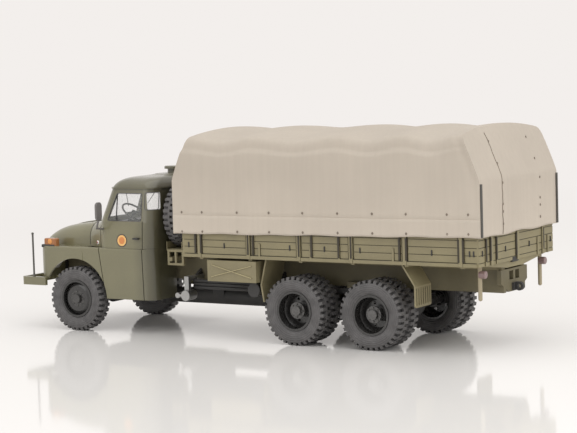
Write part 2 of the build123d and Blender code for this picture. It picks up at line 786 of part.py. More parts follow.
# Cab shell: hollow, with a rain gutter, its windows, wheel arches, frame tunnel and door lines
gutter_half = BODY_HALF - GUTTER_STEP + GUTTER_OUT
with BuildPart() as cab_shell:
    add(cab_outer)
    extrude(plan(GUTTER_Z, CAB_REAR, SCREEN_HEAD - GUTTER_OUT, gutter_half, CAB_CORNER, 0), amount=-GUTTER_T)
    add(cab_hollow, mode=Mode.SUBTRACT)
    add(windows.part, mode=Mode.SUBTRACT)
    add(arches.part, mode=Mode.SUBTRACT)
    add(door_seams.part, mode=Mode.SUBTRACT)
    with Locations((back((CAB_REAR + COWL_FRONT) / 2), 0, 0)):
        Box(2 * CAB_REAR, 2 * TUNNEL_HALF, 2 * FRAME_TOP, mode=Mode.SUBTRACT)
cab_shell.part.label = "cab_shell"
export_step(cab_shell.part, "parts/cab_shell.step")

# Clear panes set in the middle of the walls
with BuildPart() as cab_glazing:
    add(cab_form(0.35 * WALL))
    add(cab_form(0.75 * WALL), mode=Mode.SUBTRACT)
    add(windows.part, mode=Mode.INTERSECT)
cab_glazing.part.label = "cab_glazing"
export_step(cab_glazing.part, "parts/cab_glazing.step")

# Cab floor on the frame rails, dashboard under the windscreen, and two seats
with BuildPart() as cab_floor:
    with Locations((back((CAB_REAR + COWL_FRONT) / 2), 0, FRAME_TOP)):
        Box(2 * CAB_REAR, 4 * BODY_HALF, WALL, align=ON_TOP)
    add(cab_hollow, mode=Mode.INTERSECT)
cab_floor.part.label = "cab_floor"
export_step(cab_floor.part, "parts/cab_floor.step")

with BuildPart() as dashboard:
    with Locations((back(SCREEN_FOOT), 0, BELT_Z - DASH_DROP)):
        Box(DASH_L, 4 * BODY_HALF, DASH_H, align=HUNG)
    add(cab_hollow, mode=Mode.INTERSECT)
dashboard.part.label = "dashboard"
export_step(dashboard.part, "parts/dashboard.step")

with BuildPart() as seats:
    for seat_y in (SEAT_W, -SEAT_W):
        with Locations((back(CAB_REAR - WALL - SEAT_GAP), seat_y, FRAME_TOP + WALL)):
            Box(SEAT_L, SEAT_W, SEAT_H, align=(Align.MIN, Align.CENTER, Align.MIN))
            Box(SEAT_BACK_T, SEAT_W, SEAT_BACK_H, align=(Align.MIN, Align.CENTER, Align.MIN))
    fillet(seats.edges().filter_by(Axis.Y), SEAT_GAP)
seats.part.label = "seats"
export_step(seats.part, "parts/seats.step")

# Steering wheel on its column, leaning towards the seat
steer = Plane(origin=(back(WHEEL_X), SEAT_W, WHEEL_Z), x_dir=(0, 1, 0), z_dir=(-0.62, 0, 0.78))
with BuildPart() as steering_wheel:
    with Locations(steer):
        Torus(RING_R, RING_T)
        Box(2 * RING_R, 2 * RING_T, RING_T)
        Cylinder(BOSS_R, 2 * RING_T)
        Cylinder(COLUMN_R, COLUMN_L, align=HUNG)
    add(dashboard.part, mode=Mode.SUBTRACT)
steering_wheel.part.label = "steering_wheel"
export_step(steering_wheel.part, "parts/steering_wheel.step")

# Bonnet shell on the wings' deck, with a raised middle
with BuildPart() as bonnet_ridge:
    add(bonnet_form(-RIDGE_H))
    with Locations((FRONT_X + RIDGE_NOSE, 0, DECK_Z)):
        Box(RIDGE_NOSE + COWL_FRONT, 2 * RIDGE_HALF, DECK_Z, align=(Align.MAX, Align.CENTER, Align.MIN),
            mode=Mode.INTERSECT)

with BuildPart() as bonnet_hollow:
    add(bonnet_form(BONNET_T))
    with Locations((FRONT_X + BONNET_NOSE - BONNET_T, 0, DECK_Z)):
        Box(2 * BONNET_NOSE, 2 * BODY_HALF, DECK_Z, align=(Align.MAX, Align.CENTER, Align.CENTER),
            mode=Mode.INTERSECT)

with BuildPart() as bonnet:
    add(bonnet_form(0.0))
    add(bonnet_ridge.part)
    add(bonnet_hollow.part, mode=Mode.SUBTRACT)
bonnet.part.label = "bonnet"
export_step(bonnet.part, "parts/bonnet.step")

# Grille panel with slats, and the headlamps beside it
with BuildPart() as grille:
    with Locations((nose_x - WALL, 0, grille_z)):
        Box(
            GRILLE_T, 2 * GRILLE_HALF, GRILLE_HIGH - GRILLE_LOW,
            align=(Align.MIN, Align.CENTER, Align.CENTER),
        )
    for slat in range(SLAT_COUNT):
        slat_z = GRILLE_LOW + (slat + 0.5) * (GRILLE_HIGH - GRILLE_LOW) / SLAT_COUNT
        with Locations((nose_x - WALL, 0, slat_z)):
            Box(WALL, 2 * GRILLE_HALF, SLAT_T, align=(Align.MIN, Align.CENTER, Align.CENTER))
grille.part.label = "grille"
export_step(grille.part, "parts/grille.step")

with BuildPart() as headlamps:
    with BuildSketch(Plane.YZ.offset(nose_x - 2 * WALL)):
        with Locations((LAMP_Y, LAMP_Z), (-LAMP_Y, LAMP_Z)):
            Circle(LAMP_R)
    extrude(amount=2 * WALL + LENS_OUT)
    fillet(headlamps.faces().sort_by(Axis.X)[-2:].edges(), LENS_OUT / 2)
headlamps.part.label = "headlamps"
export_step(headlamps.part, "parts/headlamps.step")

# Indicator pods on the wings' front corners
indicator_y = BODY_HALF - DECK_ROLL - INDICATOR_W / 2
with BuildPart() as indicators:
    with BuildSketch(Plane.XY.offset(DECK_Z)):
        with Locations((FRONT_X + INDICATOR_AHEAD, indicator_y), (FRONT_X + INDICATOR_AHEAD, -indicator_y)):
            RectangleRounded(INDICATOR_L, INDICATOR_W, INDICATOR_R)
    extrude(amount=INDICATOR_H)
    fillet(indicators.edges().group_by(Axis.Z)[-1], INDICATOR_R / 2)
indicators.part.label = "indicators"
export_step(indicators.part, "parts/indicators.step")

# Mirrors: an upright rounded pod on a bent arm from the cowl
with BuildPart() as mirrors:
    with BuildSketch(Plane.YZ.offset(back(MIRROR_X))):
        with Locations((MIRROR_Y, MIRROR_Z)):
            RectangleRounded(MIRROR_W, MIRROR_H, MIRROR_R)
    extrude(amount=MIRROR_T)
    fillet(mirrors.edges().group_by(Axis.X)[-1], MIRROR_T / 3)
    arm_top = (back(MIRROR_X - MIRROR_T / 2), MIRROR_Y, MIRROR_Z - MIRROR_H / 2 + ARM_R)
    arm_bend = (back(COWL_REAR), MIRROR_Y - ARM_R, ARM_FOOT_Z + 2 * ARM_R)
    arm_foot = (back(COWL_REAR), BODY_HALF - 2 * BELT_STEP, ARM_FOOT_Z)
    with BuildLine() as arm:
        Polyline(arm_top, arm_bend, arm_foot)
    with BuildSketch(Plane(origin=arm_top, z_dir=arm.line % 0)):
        Circle(ARM_R)
    sweep(path=arm.line, transition=Transition.ROUND)
    mirror(about=Plane.XZ)
    add(cab_outer, mode=Mode.SUBTRACT)
mirrors.part.label = "mirrors"
export_step(mirrors.part, "parts/mirrors.step")

with BuildPart() as door_handles:
    for side in (1, -1):
        with Locations((back(DOOR_REAR - HANDLE_INSET), side * BODY_HALF, HANDLE_Z)):
            Box(HANDLE_L, 2 * HANDLE_T, HANDLE_T)
    add(cab_outer, mode=Mode.SUBTRACT)
door_handles.part.label = "door_handles"
export_step(door_handles.part, "parts/door_handles.step")

# Bumper with wrapped ends and brackets under the rails, and the width rods standing on it
bumper_x = FRONT_X + (NOSE + BUMPER_RETURN) / 2
bumper_l = NOSE - BUMPER_RETURN
with BuildPart() as front_bumper:
    with BuildSketch(Plane.XY.offset(BUMPER_Z)):
        with Locations((bumper_x, 0)):
            Rectangle(bumper_l, 2 * BUMPER_HALF)
        fillet(vertices().group_by(Axis.X)[-1], BUMPER_CORNER)
        with Locations((bumper_x - BUMPER_T, 0)):
            Rectangle(bumper_l, 2 * (BUMPER_HALF - BUMPER_T), mode=Mode.SUBTRACT)
    extrude(amount=BUMPER_H)
    for side in (1, -1):
        with Locations((FRONT_X + NOSE - BUMPER_T / 2, side * RAIL_Y, FRAME_BOTTOM)):
            Box(NOSE - FRAME_FRONT + BRACKET_LAP, RAIL_T, FRAME_BOTTOM - BUMPER_Z,
                align=(Align.MAX, Align.CENTER, Align.MAX))
front_bumper.part.label = "front_bumper"
export_step(front_bumper.part, "parts/front_bumper.step")

bumper_top = BUMPER_Z + BUMPER_H
with BuildPart() as width_rods:
    for side in (1, -1):
        with Locations((FRONT_X + WIDTH_ROD_AHEAD, side * (BUMPER_HALF - BUMPER_T / 2), bumper_top)):
            Cylinder(WIDTH_ROD_R, WIDTH_ROD_TOP - bumper_top, align=ON_TOP)
            Cone(WIDTH_FOOT_R, WIDTH_ROD_R, WIDTH_FOOT_H, align=ON_TOP)
            with Locations((0, 0, WIDTH_ROD_TOP - bumper_top)):
                Sphere(WIDTH_HEAD_R)
width_rods.part.label = "width_rods"
export_step(width_rods.part, "parts/width_rods.step")

# Mushroom vent on the roof
with BuildPart() as roof_vent:
    with Locations((back(VENT_X), 0, ROOF_Z)):
        Cylinder(VENT_NECK_R, VENT_NECK_H, align=ON_TOP)
        with Locations((0, 0, VENT_NECK_H)):
            Cylinder(VENT_CAP_R, VENT_CAP_H, align=ON_TOP)
    fillet(roof_vent.edges().sort_by(Axis.Z)[-1], VENT_CAP_H / 2)
roof_vent.part.label = "roof_vent"
export_step(roof_vent.part, "parts/roof_vent.step")

# Spare wheel standing across the truck behind the cab, in its cradle
spare_plane = Plane(origin=(back(SPARE_X), SPARE_Y, SPARE_Z), x_dir=(-1, 0, 0), z_dir=(0, 1, 0))
spare_line = Axis((back(SPARE_X), SPARE_Y, SPARE_Z), (1, 0, 0))
spare_face = FRONT_BULGE + WEB_T
spare_hub = ((-SPARE_HUB, spare_face, HUB_R),)
with BuildPart() as spare_tyre:
    with Locations(Location((back(SPARE_X), SPARE_Y, SPARE_Z), (0, 0, 90))):
        add(lugged_tyre.part)
spare_tyre.part.label = "spare_tyre"
export_step(spare_tyre.part, "parts/spare_tyre.step")

with BuildPart() as spare_rim:
    revolve(wheel_section(spare_plane, (0,), ((0, FRONT_BULGE),), spare_hub, spare_face), axis=spare_line)
spare_rim.part.label = "spare_rim"
export_step(spare_rim.part, "parts/spare_rim.step")

cradle_half_l = TYRE_W / 2 + LIP_CLEAR + LIP_T
cradle_low = SPARE_BASE - CRADLE_T
ladder_y = SPARE_Y + CRADLE_HALF + LADDER_REACH
with BuildPart() as spare_carrier:
    with BuildSketch(Plane.XZ.offset(-(SPARE_Y - CRADLE_HALF))):
        with Locations((back(SPARE_X), cradle_low)):
            Rectangle(2 * cradle_half_l, CRADLE_T + CRADLE_LIP, align=(Align.CENTER, Align.MIN))
        fillet(vertices().group_by(Axis.Y)[0], CRADLE_R)
        with Locations((back(SPARE_X), SPARE_BASE)):
            Rectangle(2 * (cradle_half_l - LIP_T), 2 * CRADLE_LIP, align=(Align.CENTER, Align.MIN),
                      mode=Mode.SUBTRACT)
    extrude(amount=-2 * CRADLE_HALF)
    with Locations((back(SPARE_X), 0, FRAME_TOP)):
        Box(LEG_L, 2 * RAIL_OUT, cradle_low - FRAME_TOP, align=ON_TOP)
        Box(LEG_L, ladder_y, ARM_H, align=(Align.CENTER, Align.MIN, Align.MIN))
    with BuildSketch(Plane.XZ.offset(-ladder_y)):
        with Locations((back(SPARE_X - LEG_L / 2), FRAME_TOP + ARM_H)):
            Rectangle(LADDER_L, LADDER_H, align=(Align.MAX, Align.CENTER))
        with Locations((back(SPARE_X - LEG_L / 2 + LADDER_L / 2), FRAME_TOP + ARM_H)):
            Rectangle(LADDER_L - 2 * LADDER_T, LADDER_H - 2 * LADDER_T, mode=Mode.SUBTRACT)
            Rectangle(LADDER_T, LADDER_H)
    extrude(amount=LADDER_T)
spare_carrier.part.label = "spare_carrier"
export_step(spare_carrier.part, "parts/spare_carrier.step")

# Bed floor with its long and cross bearers and the sloped rear sill
with BuildPart() as bed_floor:
    with Locations((back(BED_FRONT), 0, FLOOR_Z)):
        Box(BED_LENGTH, 2 * BED_INNER, FLOOR_T, align=(Align.MAX, Align.CENTER, Align.MIN))
    for side in (1, -1):
        with Locations((back(BED_FRONT + BEARER_INSET), side * RAIL_Y, FLOOR_Z)):
            Box(BED_LENGTH - BEARER_INSET - SILL_T, BEARER_W, FLOOR_Z - FRAME_TOP,
                align=(Align.MAX, Align.CENTER, Align.MAX))
    for post in BED_POSTS:
        with Locations((back(post), 0, FLOOR_Z)):
            Box(POST_W, 2 * BED_INNER, BEARER_H, align=HUNG)
    with BuildSketch(Plane.YZ.offset(back(BED_REAR))):
        with BuildLine():
            Polyline(
                (-BED_INNER, FLOOR_Z), (-SILL_FLAT, FLOOR_Z - SILL_DROP), (SILL_FLAT, FLOOR_Z - SILL_DROP),
                (BED_INNER, FLOOR_Z), close=True,
            )
        make_face()
    extrude(amount=SILL_T)
bed_floor.part.label = "bed_floor"
export_step(bed_floor.part, "parts/bed_floor.step")

# Headboard, planked like the sides
with BuildPart() as headboard:
    with Locations((back(BED_FRONT), 0, BOARD_BOTTOM)):
        Box(BOARD_T, 2 * BED_HALF, BOARD_H, align=(Align.MIN, Align.CENTER, Align.MIN))
    for groove_z in BOARD_GROOVES:
        with Locations((back(BED_FRONT - BOARD_T + GROOVE), 0, groove_z)):
            Box(BOARD_T, 4 * BED_HALF, GROOVE_W, align=(Align.MIN, Align.CENTER, Align.CENTER),
                mode=Mode.SUBTRACT)
headboard.part.label = "headboard"
export_step(headboard.part, "parts/headboard.step")

# Bed sides: planks over a bottom rail, posts with a gap beside each, and hinge straps
SIDE_STRAPS = [BED_MIDDLE + reach for reach in (-STRAP_FAR, -STRAP_NEAR, STRAP_NEAR, STRAP_FAR)]
face_y = BED_HALF - GROOVE
with BuildPart() as bed_side:
    with Locations((back(BED_FRONT), BED_INNER, BOARD_BOTTOM)):
        Box(BED_LENGTH, BOARD_T, BOARD_H, align=(Align.MAX, Align.MIN, Align.MIN))
    for groove_z in BOARD_GROOVES:
        with Locations((back(BED_FRONT), face_y, groove_z)):
            Box(2 * BED_LENGTH, BOARD_T, GROOVE_W, align=(Align.CENTER, Align.MIN, Align.CENTER),
                mode=Mode.SUBTRACT)
    for post in BED_POSTS:
        with Locations((back(post), face_y, BOARD_BOTTOM)):
            Box(POST_W + 2 * POST_GAP, BOARD_T, BOARD_H, align=(Align.CENTER, Align.MIN, Align.MIN),
                mode=Mode.SUBTRACT)
            Box(POST_W, POST_T + GROOVE, BOARD_H, align=(Align.CENTER, Align.MIN, Align.MIN))
    for strap in SIDE_STRAPS:
        with Locations((back(strap), face_y, BOARD_BOTTOM)):
            Box(STRAP_W, STRAP_T + GROOVE, STRAP_H + RAIL_H, align=(Align.CENTER, Align.MIN, Align.MIN))
    with Locations((back(BED_FRONT), face_y, BOARD_BOTTOM)):
        Box(BED_LENGTH, STRAP_T + GROOVE, RAIL_H - GROOVE_W / 2, align=(Align.MAX, Align.MIN, Align.MIN))

with BuildPart() as bed_side_left:
    add(bed_side.part)
bed_side_left.part.label = "bed_side_left"
export_step(bed_side_left.part, "parts/bed_side_left.step")

with BuildPart() as bed_side_right:
    mirror(bed_side.part, about=Plane.XZ)
bed_side_right.part.label = "bed_side_right"
export_step(bed_side_right.part, "parts/bed_side_right.step")

# Tailgate: planks, three posts and a pair of hinge straps beside each outer post
GATE_RIBS = (
    # y, width, height, thickness
    (0, POST_W, BOARD_H, POST_T),
    (GATE_POST_Y, POST_W, BOARD_H, POST_T),
    (-GATE_POST_Y, POST_W, BOARD_H, POST_T),
    (GATE_STRAP_NEAR, STRAP_W, GATE_STRAP_H, STRAP_T),
    (-GATE_STRAP_NEAR, STRAP_W, GATE_STRAP_H, STRAP_T),
    (GATE_STRAP_FAR, STRAP_W, GATE_STRAP_H, STRAP_T),
    (-GATE_STRAP_FAR, STRAP_W, GATE_STRAP_H, STRAP_T),
)
gate_face = BED_REAR + BOARD_T - GROOVE
with BuildPart() as tailgate:
    with Locations((back(BED_REAR), 0, BOARD_BOTTOM)):
        Box(BOARD_T, 2 * BED_HALF, BOARD_H, align=(Align.MAX, Align.CENTER, Align.MIN))
    for groove_z in BOARD_GROOVES:
        with Locations((back(gate_face), 0, groove_z)):
            Box(BOARD_T, 4 * BED_HALF, GROOVE_W, align=(Align.MAX, Align.CENTER, Align.CENTER),
                mode=Mode.SUBTRACT)
    for rib_y, rib_w, rib_h, rib_t in GATE_RIBS:
        with Locations((back(gate_face), rib_y, BOARD_BOTTOM)):
            Box(rib_t + GROOVE, rib_w, rib_h, align=(Align.MAX, Align.CENTER, Align.MIN))
tailgate.part.label = "tailgate"
export_step(tailgate.part, "parts/tailgate.step")

# Tilt: stretched over hoops, so its roof and shoulders sag between them
bows = [FIRST_BOW + i * BOW_PITCH for i in range(BOW_COUNT)] + [TILT_REAR - HIP_RUN - HIP_LAP]
tilt_rows = [(TILT_FRONT, 0.0)]
for start, end in zip(bows, bows[1:]):
    for step in range(SAG_STEPS):
        share = step / SAG_STEPS
        tilt_rows.append((start + share * (end - start), TILT_SAG * sin(pi * share) ** 2))
tilt_rows += [(bows[-1], 0.0), (TILT_REAR, 0.0)]


def tilt_section(distance, sag, inset):
    """Upright section of the tilt: straight sides, drawn-in shoulders and an arched roof."""
    half = TILT_HALF - inset
    edge = half - TILT_EDGE_IN - TILT_NIP * sag
    edge_z = TILT_EDGE - sag - inset
    low = TILT_BOTTOM - 2 * inset
    with BuildSketch(Plane.YZ.offset(back(distance))) as section:
        with BuildLine():
            Polyline(
                (-edge, edge_z), (-half, TILT_SHOULDER), (-half, low),
                (half, low), (half, TILT_SHOULDER), (edge, edge_z),
            )
            ThreePointArc((edge, edge_z), (0, TILT_TOP - sag - inset), (-edge, edge_z))
        make_face()
    return section.sketch


def tilt_form(inset):
    """Tilt lofted over the hoops and cut by its leaning ends."""
    front = back(TILT_FRONT + inset)
    rear = back(TILT_REAR - inset)
    low = TILT_BOTTOM - 3 * TILT_T
    crest = TILT_TOP + TILT_T
    run = HIP_RUN * (crest - TILT_EAVE) / (TILT_TOP - TILT_EAVE)
    with BuildPart() as form:
        loft([tilt_section(distance, sag, inset) for distance, sag in tilt_rows], ruled=True)
        with BuildSketch(Plane.XZ):
            with BuildLine():
                Polyline(
                    (front, low), (front, TILT_EAVE), (front - run, crest),
                    (rear + run, crest), (rear, TILT_EAVE), (rear, low),
                    close=True,
                )
            make_face()
        extrude(amount=2 * TILT_HALF, both=True, mode=Mode.INTERSECT)
    return form.part


with BuildPart() as tilt:
    add(tilt_form(0.0))
    add(tilt_form(TILT_T), mode=Mode.SUBTRACT)
tilt.part.label = "tilt"
export_step(tilt.part, "parts/tilt.step")

# Closing rods at the rear corners of the tilt
with BuildPart() as tilt_rods:
    for side in (1, -1):
        with Locations((back(TILT_REAR), side * (TILT_HALF - CLOSER_W), TILT_EAVE)):
            Box(CLOSER_T, CLOSER_W, CLOSER_L, align=(Align.MAX, Align.CENTER, Align.MAX))
tilt_rods.part.label = "tilt_rods"
export_step(tilt_rods.part, "parts/tilt_rods.step")

# Stowage box on the left, with a crossed pressing on its face, hung under the bed
box_h = BOX_HIGH - BOX_LOW
hangers = [BOX_FRONT + BOX_LENGTH / 4, BOX_REAR - BOX_LENGTH / 4]
press_front = back(BOX_FRONT + PRESSING_INSET)
press_rear = back(BOX_REAR - PRESSING_INSET)
press_low = BOX_LOW + PRESSING_INSET
press_high = BOX_HIGH - PRESSING_INSET
with BuildPart() as stowage_box:
    with Locations((back(BOX_FRONT), BOX_IN, BOX_LOW)):
        Box(BOX_LENGTH, BED_HALF - BOX_IN, box_h, align=(Align.MAX, Align.MIN, Align.MIN))
    for hanger in hangers:
        with Locations((back(hanger), BOX_IN, BOX_LOW)):
            Box(HANGER_W, HANGER_T, FLOOR_Z - BOX_LOW, align=(Align.CENTER, Align.MIN, Align.MIN))
    with BuildSketch(Plane.XZ.offset(-BED_HALF)):
        for at_rear, at_front in ((press_low, press_high), (press_high, press_low)):
            with BuildLine():
                Polyline(
                    (press_rear, at_rear), (press_rear + PRESSING_W, at_rear), (press_front, at_front),
                    (press_front - PRESSING_W, at_front), close=True,
                )
            make_face()
    extrude(amount=-PRESSING_T)
stowage_box.part.label = "stowage_box"
export_step(stowage_box.part, "parts/stowage_box.step")

# Fuel tank on the right
tank_w = BED_HALF - TANK_INSET - BOX_IN
tank_y = -(BOX_IN + tank_w / 2)
with BuildPart() as fuel_tank:
    with BuildSketch(Plane.YZ.offset(back(BOX_REAR))):
        with Locations((tank_y, (TANK_LOW + BOX_HIGH) / 2)):
            RectangleRounded(tank_w, BOX_HIGH - TANK_LOW, TANK_R)
    extrude(amount=BOX_LENGTH)
    for hanger in hangers:
        with Locations((back(hanger), tank_y, FLOOR_Z)):
            Box(HANGER_W, HANGER_T, FLOOR_Z - BOX_HIGH + TANK_R, align=HUNG)
fuel_tank.part.label = "fuel_tank"
export_step(fuel_tank.part, "parts/fuel_tank.step")

# Air reservoir under the stowage box
air_x = BOX_REAR - AIR_FORWARD
air_y = BOX_IN + AIR_INSET
with BuildPart() as air_tank:
    with BuildSketch(Plane.XZ.offset(-air_y)):
        with Locations((back(air_x), BOX_LOW - AIR_GAP - AIR_R)):
            Circle(AIR_R)
    extrude(amount=-AIR_L)
    with Locations((back(air_x), air_y, BOX_LOW)):
        Box(AIR_R, AIR_L, AIR_R, align=(Align.CENTER, Align.MIN, Align.MAX))
air_tank.part.label = "air_tank"
export_step(air_tank.part, "parts/air_tank.step")

# Brake valves on a bracket from the left rail
valve_x = BED_FRONT - VALVE_AHEAD
arm_top_z = FRAME_BOTTOM + VALVE_ARM_RISE + VALVE_ARM_T
with BuildPart() as brake_valves:
    with Locations((back(valve_x), RAIL_OUT, arm_top_z)):
        Box(VALVE_R, VALVE_ARM_L, VALVE_ARM_T, align=(Align.CENTER, Align.MIN, Align.MAX))
    with Locations((back(valve_x), RAIL_OUT + VALVE_ARM_L, arm_top_z)):
        Box(VALVE_R, VALVE_ARM_T, arm_top_z - VALVE_Z, align=(Align.CENTER, Align.MAX, Align.MAX))
    with BuildSketch(Plane.XZ.offset(-(RAIL_OUT + VALVE_ARM_L + SMALL_VALVE_R))):
        with Locations((back(valve_x), VALVE_Z)):
            Circle(VALVE_R)
        with Locations((back(valve_x - VALVE_PITCH), VALVE_Z)):
            Circle(SMALL_VALVE_R)
        with Locations((back(valve_x - VALVE_PITCH / 2), VALVE_Z)):
            Rectangle(VALVE_PITCH, PIPE_T)
    extrude(amount=VALVE_L)
brake_valves.part.label = "brake_valves"
export_step(brake_valves.part, "parts/brake_valves.step")

# Mudguard plates ahead of the bogie, and sloping plates with ribbed flaps behind it
guard_x = back(GUARD_X)
knee_x = guard_x + GUARD_KNEE
flap_x = REAR_X - TYRE_R - FLAP_GAP
flap_in = GUARD_IN + FLAP_INSET
flap_w = BED_INNER - flap_in
rib_pitch = (flap_w - 2 * FLAP_MARGIN) / (FLAP_RIBS - 1)
rib_h = FLAP_TOP - FLAP_LOW - 2 * FLAP_MARGIN
with BuildPart() as mudguards:
    with BuildSketch(Plane.XZ.offset(-GUARD_IN)):
        with BuildLine():
            Polyline(
                (knee_x - GUARD_LEAN, FLOOR_Z), (knee_x, GUARD_KNEE_Z), (guard_x, GUARD_LOW),
                (guard_x + GUARD_T, GUARD_LOW), (knee_x + GUARD_T, GUARD_KNEE_Z),
                (knee_x + GUARD_T - GUARD_LEAN, FLOOR_Z), close=True,
            )
        make_face()
    extrude(amount=-(GUARD_OUT - GUARD_IN))
    with BuildSketch(Plane.XZ.offset(-flap_in)):
        with BuildLine():
            Polyline(
                (flap_x + FLAP_RUN, FLOOR_Z), (flap_x, FLAP_TOP), (flap_x - GUARD_T, FLAP_TOP),
                (flap_x + FLAP_RUN - GUARD_T, FLOOR_Z), close=True,
            )
        make_face()
    extrude(amount=-flap_w)
    with BuildSketch(Plane.YZ.offset(flap_x - GUARD_T)):
        with Locations((flap_in, FLAP_LOW)):
            Rectangle(flap_w, FLAP_TOP - FLAP_LOW, align=(Align.MIN, Align.MIN))
        fillet(vertices().group_by(Axis.Y)[0], FLAP_MARGIN)
    extrude(amount=GUARD_T)
    for rib in range(FLAP_RIBS):
        with Locations((flap_x - GUARD_T, flap_in + FLAP_MARGIN + rib * rib_pitch, FLAP_TOP - FLAP_MARGIN)):
            Box(FLAP_RIB_T, FLAP_RIB_W, rib_h, align=(Align.MAX, Align.CENTER, Align.MAX))
    mirror(about=Plane.XZ)
    add(bed_floor.part, mode=Mode.SUBTRACT)
mudguards.part.label = "mudguards"
export_step(mudguards.part, "parts/mudguards.step")

# Tail lamps on hanging round-ended posts
with BuildPart() as lamp_posts:
    for side in (1, -1):
        with Locations((back(LAMP_POST_X), side * LAMP_POST_Y, LAMP_POST_LOW + LAMP_POST_R)):
            Sphere(LAMP_POST_R)
            Cylinder(LAMP_POST_R, FLOOR_Z - LAMP_POST_LOW - LAMP_POST_R, align=ON_TOP)
lamp_posts.part.label = "lamp_posts"
export_step(lamp_posts.part, "parts/lamp_posts.step")

with BuildPart() as tail_lamps:
    with BuildSketch(Plane.YZ.offset(back(LAMP_POST_X))):
        with Locations((LAMP_POST_Y, TAIL_LAMP_Z), (-LAMP_POST_Y, TAIL_LAMP_Z)):
            Circle(TAIL_LAMP_R)
    extrude(amount=-LAMP_POST_R - TAIL_LAMP_L)
    fillet(tail_lamps.edges().group_by(Axis.X)[0], TAIL_LAMP_R / 4)
    add(lamp_posts.part, mode=Mode.SUBTRACT)
tail_lamps.part.label = "tail_lamps"
export_step(tail_lamps.part, "parts/tail_lamps.step")

# Tow hook on its plate behind the frame's end
hook_z = FRAME_BOTTOM + HOOK_Z_UP
hook_x = TAIL - HOOK_R
with BuildPart() as tow_hook:
    with Locations((back(FRAME_END), 0, hook_z)):
        Box(HOOK_PLATE_T, HOOK_PLATE_W, HOOK_PLATE_H, align=(Align.MAX, Align.CENTER, Align.CENTER))
    with BuildSketch(Plane.XZ):
        with Locations((back(hook_x), hook_z)):
            Circle(HOOK_R)
        with Locations((back((FRAME_END + hook_x) / 2), hook_z)):
            Rectangle(hook_x - FRAME_END, HOOK_SHANK_H)
        with Locations((back(hook_x), hook_z)):
            Circle(HOOK_EYE_R, mode=Mode.SUBTRACT)
    extrude(amount=HOOK_HALF, both=True)
tow_hook.part.label = "tow_hook"
export_step(tow_hook.part, "parts/tow_hook.step")
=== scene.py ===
"""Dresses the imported 1:43 cargo truck model: the tilt, its fastenings, trim, finishes, stage and camera."""

import bmesh
import bpy
import numpy as np
from bpy.props import FloatProperty, FloatVectorProperty, IntProperty, PointerProperty
from mathutils import Matrix, Vector


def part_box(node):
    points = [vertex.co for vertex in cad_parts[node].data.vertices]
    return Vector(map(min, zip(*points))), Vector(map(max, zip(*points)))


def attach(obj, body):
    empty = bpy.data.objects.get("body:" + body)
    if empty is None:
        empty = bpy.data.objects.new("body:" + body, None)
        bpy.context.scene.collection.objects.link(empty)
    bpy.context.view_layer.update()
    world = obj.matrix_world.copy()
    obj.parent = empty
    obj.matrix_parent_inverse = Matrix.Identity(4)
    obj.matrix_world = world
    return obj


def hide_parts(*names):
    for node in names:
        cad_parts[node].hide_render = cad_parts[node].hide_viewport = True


bl_info = {
    "name": "Cargo Truck Model Dressing",
    "version": (1, 0, 0),
    "blender": (4, 5, 0),
    "location": "View3D > Sidebar > Truck",
    "description": "Builds the tilt, trim, finishes and stage of a scale model cargo truck",
    "category": "Object",
}

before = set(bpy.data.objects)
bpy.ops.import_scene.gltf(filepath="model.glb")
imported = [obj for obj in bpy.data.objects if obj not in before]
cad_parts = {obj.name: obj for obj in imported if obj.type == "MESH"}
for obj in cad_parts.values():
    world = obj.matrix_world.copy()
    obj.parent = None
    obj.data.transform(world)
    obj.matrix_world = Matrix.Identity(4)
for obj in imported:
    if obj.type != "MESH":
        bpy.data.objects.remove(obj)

MM = 0.001
TRUCK = "truck"
AXLES = ("front", "mid", "rear")
SIDES = (1, -1)


def node_box(node):
    """Lowest and highest corner of a CAD node as two arrays, in metres."""
    low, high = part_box(node)
    return np.array(low), np.array(high)


def axle_x(axle):
    """X of an axle's own line."""
    low, high = node_box(axle + "_axle_rod")
    return (low[0] + high[0]) / 2


FRONT_AXLE = axle_x("front")
AXLE_HEIGHT = float(node_box("front_axle_rod")[0][2] + node_box("front_axle_rod")[1][2]) / 2


def behind(distance):
    """X of a point that many millimetres behind the front axle."""
    return FRONT_AXLE - np.asarray(distance, float) * MM


def skin(node, start, direction):
    """Point and outward normal where a ray from a start meets a CAD node."""
    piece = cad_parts[node]
    turn = piece.matrix_world.inverted()
    hit, point, normal, _ = piece.ray_cast(turn @ Vector(start), turn.to_3x3() @ Vector(direction))
    if not hit:
        raise RuntimeError("nothing to sit on at " + node)
    return np.array(piece.matrix_world @ point), np.array(piece.matrix_world.to_3x3() @ normal)


def flank(node, distance, height, side):
    """Point and normal on a side of a CAD node, a distance behind the front axle and at a height."""
    return skin(node, (behind(distance), side * 0.05, height * MM), (0, -side, 0))


# Places on the cab's skin, in millimetres: heights with the half width and the windscreen there
CAB_HEIGHTS = (12.5, 31.3, 31.4, 41.0, 53.7)
CAB_HALVES = (24.6, 25.2, 24.7, 24.2, 22.4)
SCREEN_HEIGHTS = (41.0, 53.7)
SCREEN_PLACES = (9.6, 14.3)
CAB_CORNER = 4.5
CAB_REAR = 35.5
BACK_LEAN = 0.5


def ramp(value, low, high):
    """Straight climb from 0 to 1 between two values, held at its ends."""
    return np.clip((value - low) / (high - low), 0, 1)


def cab_half(height):
    """Half width of the cab's side at a height, by straight runs between its creases."""
    return np.interp(height, CAB_HEIGHTS, CAB_HALVES)


def screen_place(across, height):
    """Distance of the windscreen's skin behind the axle: a leaning plane that turns at its corners."""
    lean = np.interp(height, SCREEN_HEIGHTS, SCREEN_PLACES)
    over = np.clip(np.abs(across) - (cab_half(height) - CAB_CORNER), 0, CAB_CORNER * 0.98)
    return lean + CAB_CORNER - np.sqrt(CAB_CORNER**2 - over**2)


